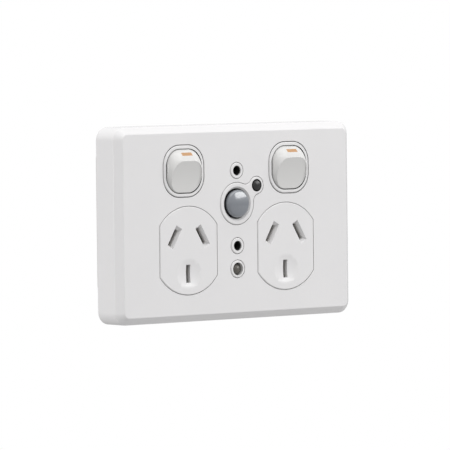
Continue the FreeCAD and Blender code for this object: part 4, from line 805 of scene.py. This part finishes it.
smoothed("sensing_core", plated_iron, rounding=0.1 * mm)
middle, size = box_middle("sensing_winding")
ring_wire = 0.22 * mm
ring_inner = 3.7 * mm
ring_outer = size.x / 2
ring_turns = grown(
    "sensing_winding_turns",
    ring_winding_tree(),
    {
        "Turns": 64,
        "Sweep": math.radians(300),
        "Mean Radius": (ring_inner + ring_outer) / 2,
        "Loop Width": ring_outer - ring_inner - 2 * ring_wire,
        "Loop Height": size.y - 2 * ring_wire,
        "Wire Radius": ring_wire,
        "Middle": middle,
        "Finish": enamelled_copper,
    },
)
stand_in(ring_turns, "sensing_winding")


# Holding magnet.
# A soft iron core in a black bobbin, wound with enamelled wire and closed by a bent yoke.
# It holds the carriage in while both line and load are live and in balance.
smoothed("magnet_core", plated_iron, rounding=0.1 * mm)
smoothed("magnet_yoke", plated_iron, rounding=0.1 * mm)
smoothed("coil_bobbin", black_nylon, rounding=0.1 * mm)


def bobbin_turns():
    """The outer layer of the coil, wound over a plain drum of the layers below."""
    middle, size = box_middle("coil_winding")
    wire, outer = 0.16 * mm, size.x / 2
    pitch = 2.1 * wire
    layer = coil(
        "coil_winding_turns",
        middle,
        outer,
        size.y,
        turns=(size.y - 2 * wire) / pitch,
        wire_radius=wire,
        steps=40,
        finish=enamelled_copper,
    )
    merged = bmesh.new()
    merged.from_mesh(layer.data)
    drum_radius = outer - 1.6 * wire
    drum = bmesh.ops.create_cone(
        merged,
        cap_ends=True,
        segments=48,
        radius1=drum_radius,
        radius2=drum_radius,
        depth=size.y,
        matrix=Matrix.Translation(middle) @ Matrix.Rotation(math.pi / 2, 4, "X"),
    )
    for vert in drum["verts"]:
        for face in vert.link_faces:
            face.smooth = len(face.verts) == 4
    merged.to_mesh(layer.data)
    merged.free()
    return layer


stand_in(bobbin_turns(), "coil_winding")


# Control board.
# The board behind the magnet, with the capacitor, the surge varistor and the sensing chip.
# The resistor sets the small current that the test button sends past the balance ring.
yellow_film = moulded_plastic(
    "yellow_film",
    colour=(0.70, 0.50, 0.08),
    drift=(0.62, 0.43, 0.06),
    edge=(0.80, 0.62, 0.20),
    roughness=0.35,
)
blue_epoxy = moulded_plastic(
    "blue_epoxy",
    colour=(0.03, 0.10, 0.36),
    drift=(0.02, 0.08, 0.30),
    edge=(0.10, 0.20, 0.50),
    roughness=0.3,
)
paint("control_board", green_laminate)
smoothed("mains_capacitor", yellow_film, rounding=0.2 * mm)
smoothed("surge_varistor", blue_epoxy, rounding=0.6 * mm)
smoothed("control_chip", black_nylon, rounding=0.1 * mm)
smoothed("test_resistor", blue_epoxy, rounding=0.3 * mm)


# Terminals and terminal screws.
# Sawn brass blocks, bored for the wires from below, with a plated screw from behind.
# The housing's cells keep the three of them apart.
zinc_steel = metal(
    "zinc_steel", (0.62, 0.62, 0.60), (0.46, 0.43, 0.34), roughness=0.3, lines=900.0
)
for terminal in ("active", "earth", "neutral"):
    smoothed(terminal + "_terminal", bare_brass, rounding=0.12 * mm)
smoothed("terminal_screws", zinc_steel, rounding=0.06 * mm)


# Rear housing and its screws.
# A deep box of matt off-white thermoplastic that closes the back of the frame.
# Four slotted screws through its ears hold it to the front moulding.
housing_plastic = moulded_plastic(
    "housing_plastic",
    colour=(0.60, 0.595, 0.575),
    drift=(0.56, 0.555, 0.535),
    edge=(0.68, 0.675, 0.655),
    roughness=0.5,
    grain=420.0,
    grain_depth=0.12,
)
smoothed("rear_housing", housing_plastic, rounding=0.15 * mm)
smoothed("housing_screws", zinc_steel, rounding=0.06 * mm)


# Floor and backdrop.
# A plain white sheet well below the plate, so pale that it runs into the background.
def white_sheet():
    """Matt paper to the light, and pure white to the camera."""
    material, tree, shader = new_material("white_sheet")
    paper = {"Base Color": (0.40, 0.40, 0.40, 1), "Roughness": 0.9}
    surface = {
        0: add(tree, "ShaderNodeLightPath").outputs["Is Camera Ray"],
        1: feed(tree, shader, paper),
        2: add(tree, "ShaderNodeEmission", {"Strength": 1.0}),
    }
    mixed = add(tree, "ShaderNodeMixShader", surface)
    feed(tree, tree.nodes["Material Output"], {"Surface": mixed})
    return material


floor_drop = 160 * mm
floor_half = 8000 * mm
floor_mesh = bpy.data.meshes.new("floor")
floor_corners = [(-1, -1), (1, -1), (1, 1), (-1, 1)]
floor_mesh.from_pydata(
    [(x * floor_half, y * floor_half, -floor_drop) for x, y in floor_corners], [], [(0, 1, 2, 3)]
)
floor_mesh.materials.append(white_sheet())
new_object("floor", floor_mesh)


# Light.
# A white studio, brighter above than below, with a soft box over the front and one each side.
# The right box stands where the curved face of the reset button throws it back to the camera.
def studio_sky():
    """A white world: pure white to the camera, and dimmer towards the ground for the light."""
    world = bpy.data.worlds.new("studio")
    world.use_nodes = True
    tree = world.node_tree
    place = add(tree, "ShaderNodeTexCoord").outputs["Generated"]
    height = add(tree, "ShaderNodeSeparateXYZ", {"Vector": place}).outputs["Z"]
    rise = ramp(tree, height, start=-0.3, end=0.5, low=0.35, high=0.95)
    seen = add(tree, "ShaderNodeLightPath").outputs["Is Camera Ray"]
    white = {"Color": (1, 1, 1, 1), "Strength": blend(tree, seen, rise, 1.0, "FLOAT")}
    feed(tree, tree.nodes["Background"], white)
    return world


bpy.context.scene.world = studio_sky()
bpy.context.scene.view_settings.view_transform = "Standard"


def soft_box(name, azimuth, elevation, distance, width, height, power):
    """An area light that looks at the plate from this side of it."""
    a, e = math.radians(azimuth), math.radians(elevation)
    toward = Vector((math.sin(a) * math.cos(e), -math.cos(a) * math.cos(e), math.sin(e)))
    light = bpy.data.lights.new(name, "AREA")
    light.shape = "RECTANGLE"
    light.size = width
    light.size_y = height
    light.energy = power
    aim = toward.to_track_quat("Z", "Y").to_matrix().to_4x4()
    new_object(name, light).matrix_world = Matrix.Translation(toward * distance) @ aim


soft_box("top_box", azimuth=-12, elevation=68, distance=1.3, width=1.4, height=1.0, power=4.4)
soft_box("right_box", azimuth=44, elevation=20, distance=1.6, width=1.1, height=0.55, power=7.6)
soft_box("left_box", azimuth=-105, elevation=8, distance=1.6, width=1.0, height=0.8, power=6)


# Camera.
# A long lens to the left of the plate and a little above it, where the photograph was taken.
camera_yaw = math.radians(38.22)
camera_pitch = math.radians(2.515)
camera_roll = math.radians(-0.672)
camera_distance = 1908.8 * mm
camera_target = Vector((4.857 * mm, 0, -1.79 * mm))
sensor_width = 36.0
image_width = 450.0
focal_pixels = 4867.5

back = Vector((
    -math.sin(camera_yaw) * math.cos(camera_pitch),
    -math.cos(camera_yaw) * math.cos(camera_pitch),
    math.sin(camera_pitch),
))
right = (-back).cross(Vector((0, 0, 1))).normalized()
up = right.cross(-back)
rolled_right = math.cos(camera_roll) * right + math.sin(camera_roll) * up
rolled_up = -math.sin(camera_roll) * right + math.cos(camera_roll) * up
camera_data = bpy.data.cameras.new("camera")
camera_data.sensor_width = sensor_width
camera_data.lens = focal_pixels * sensor_width / image_width
camera_data.clip_end = 50
camera = new_object("camera", camera_data)
axes = Matrix((rolled_right, rolled_up, back)).transposed().to_4x4()
camera.matrix_world = Matrix.Translation(camera_target + back * camera_distance) @ axes
bpy.context.scene.camera = camera
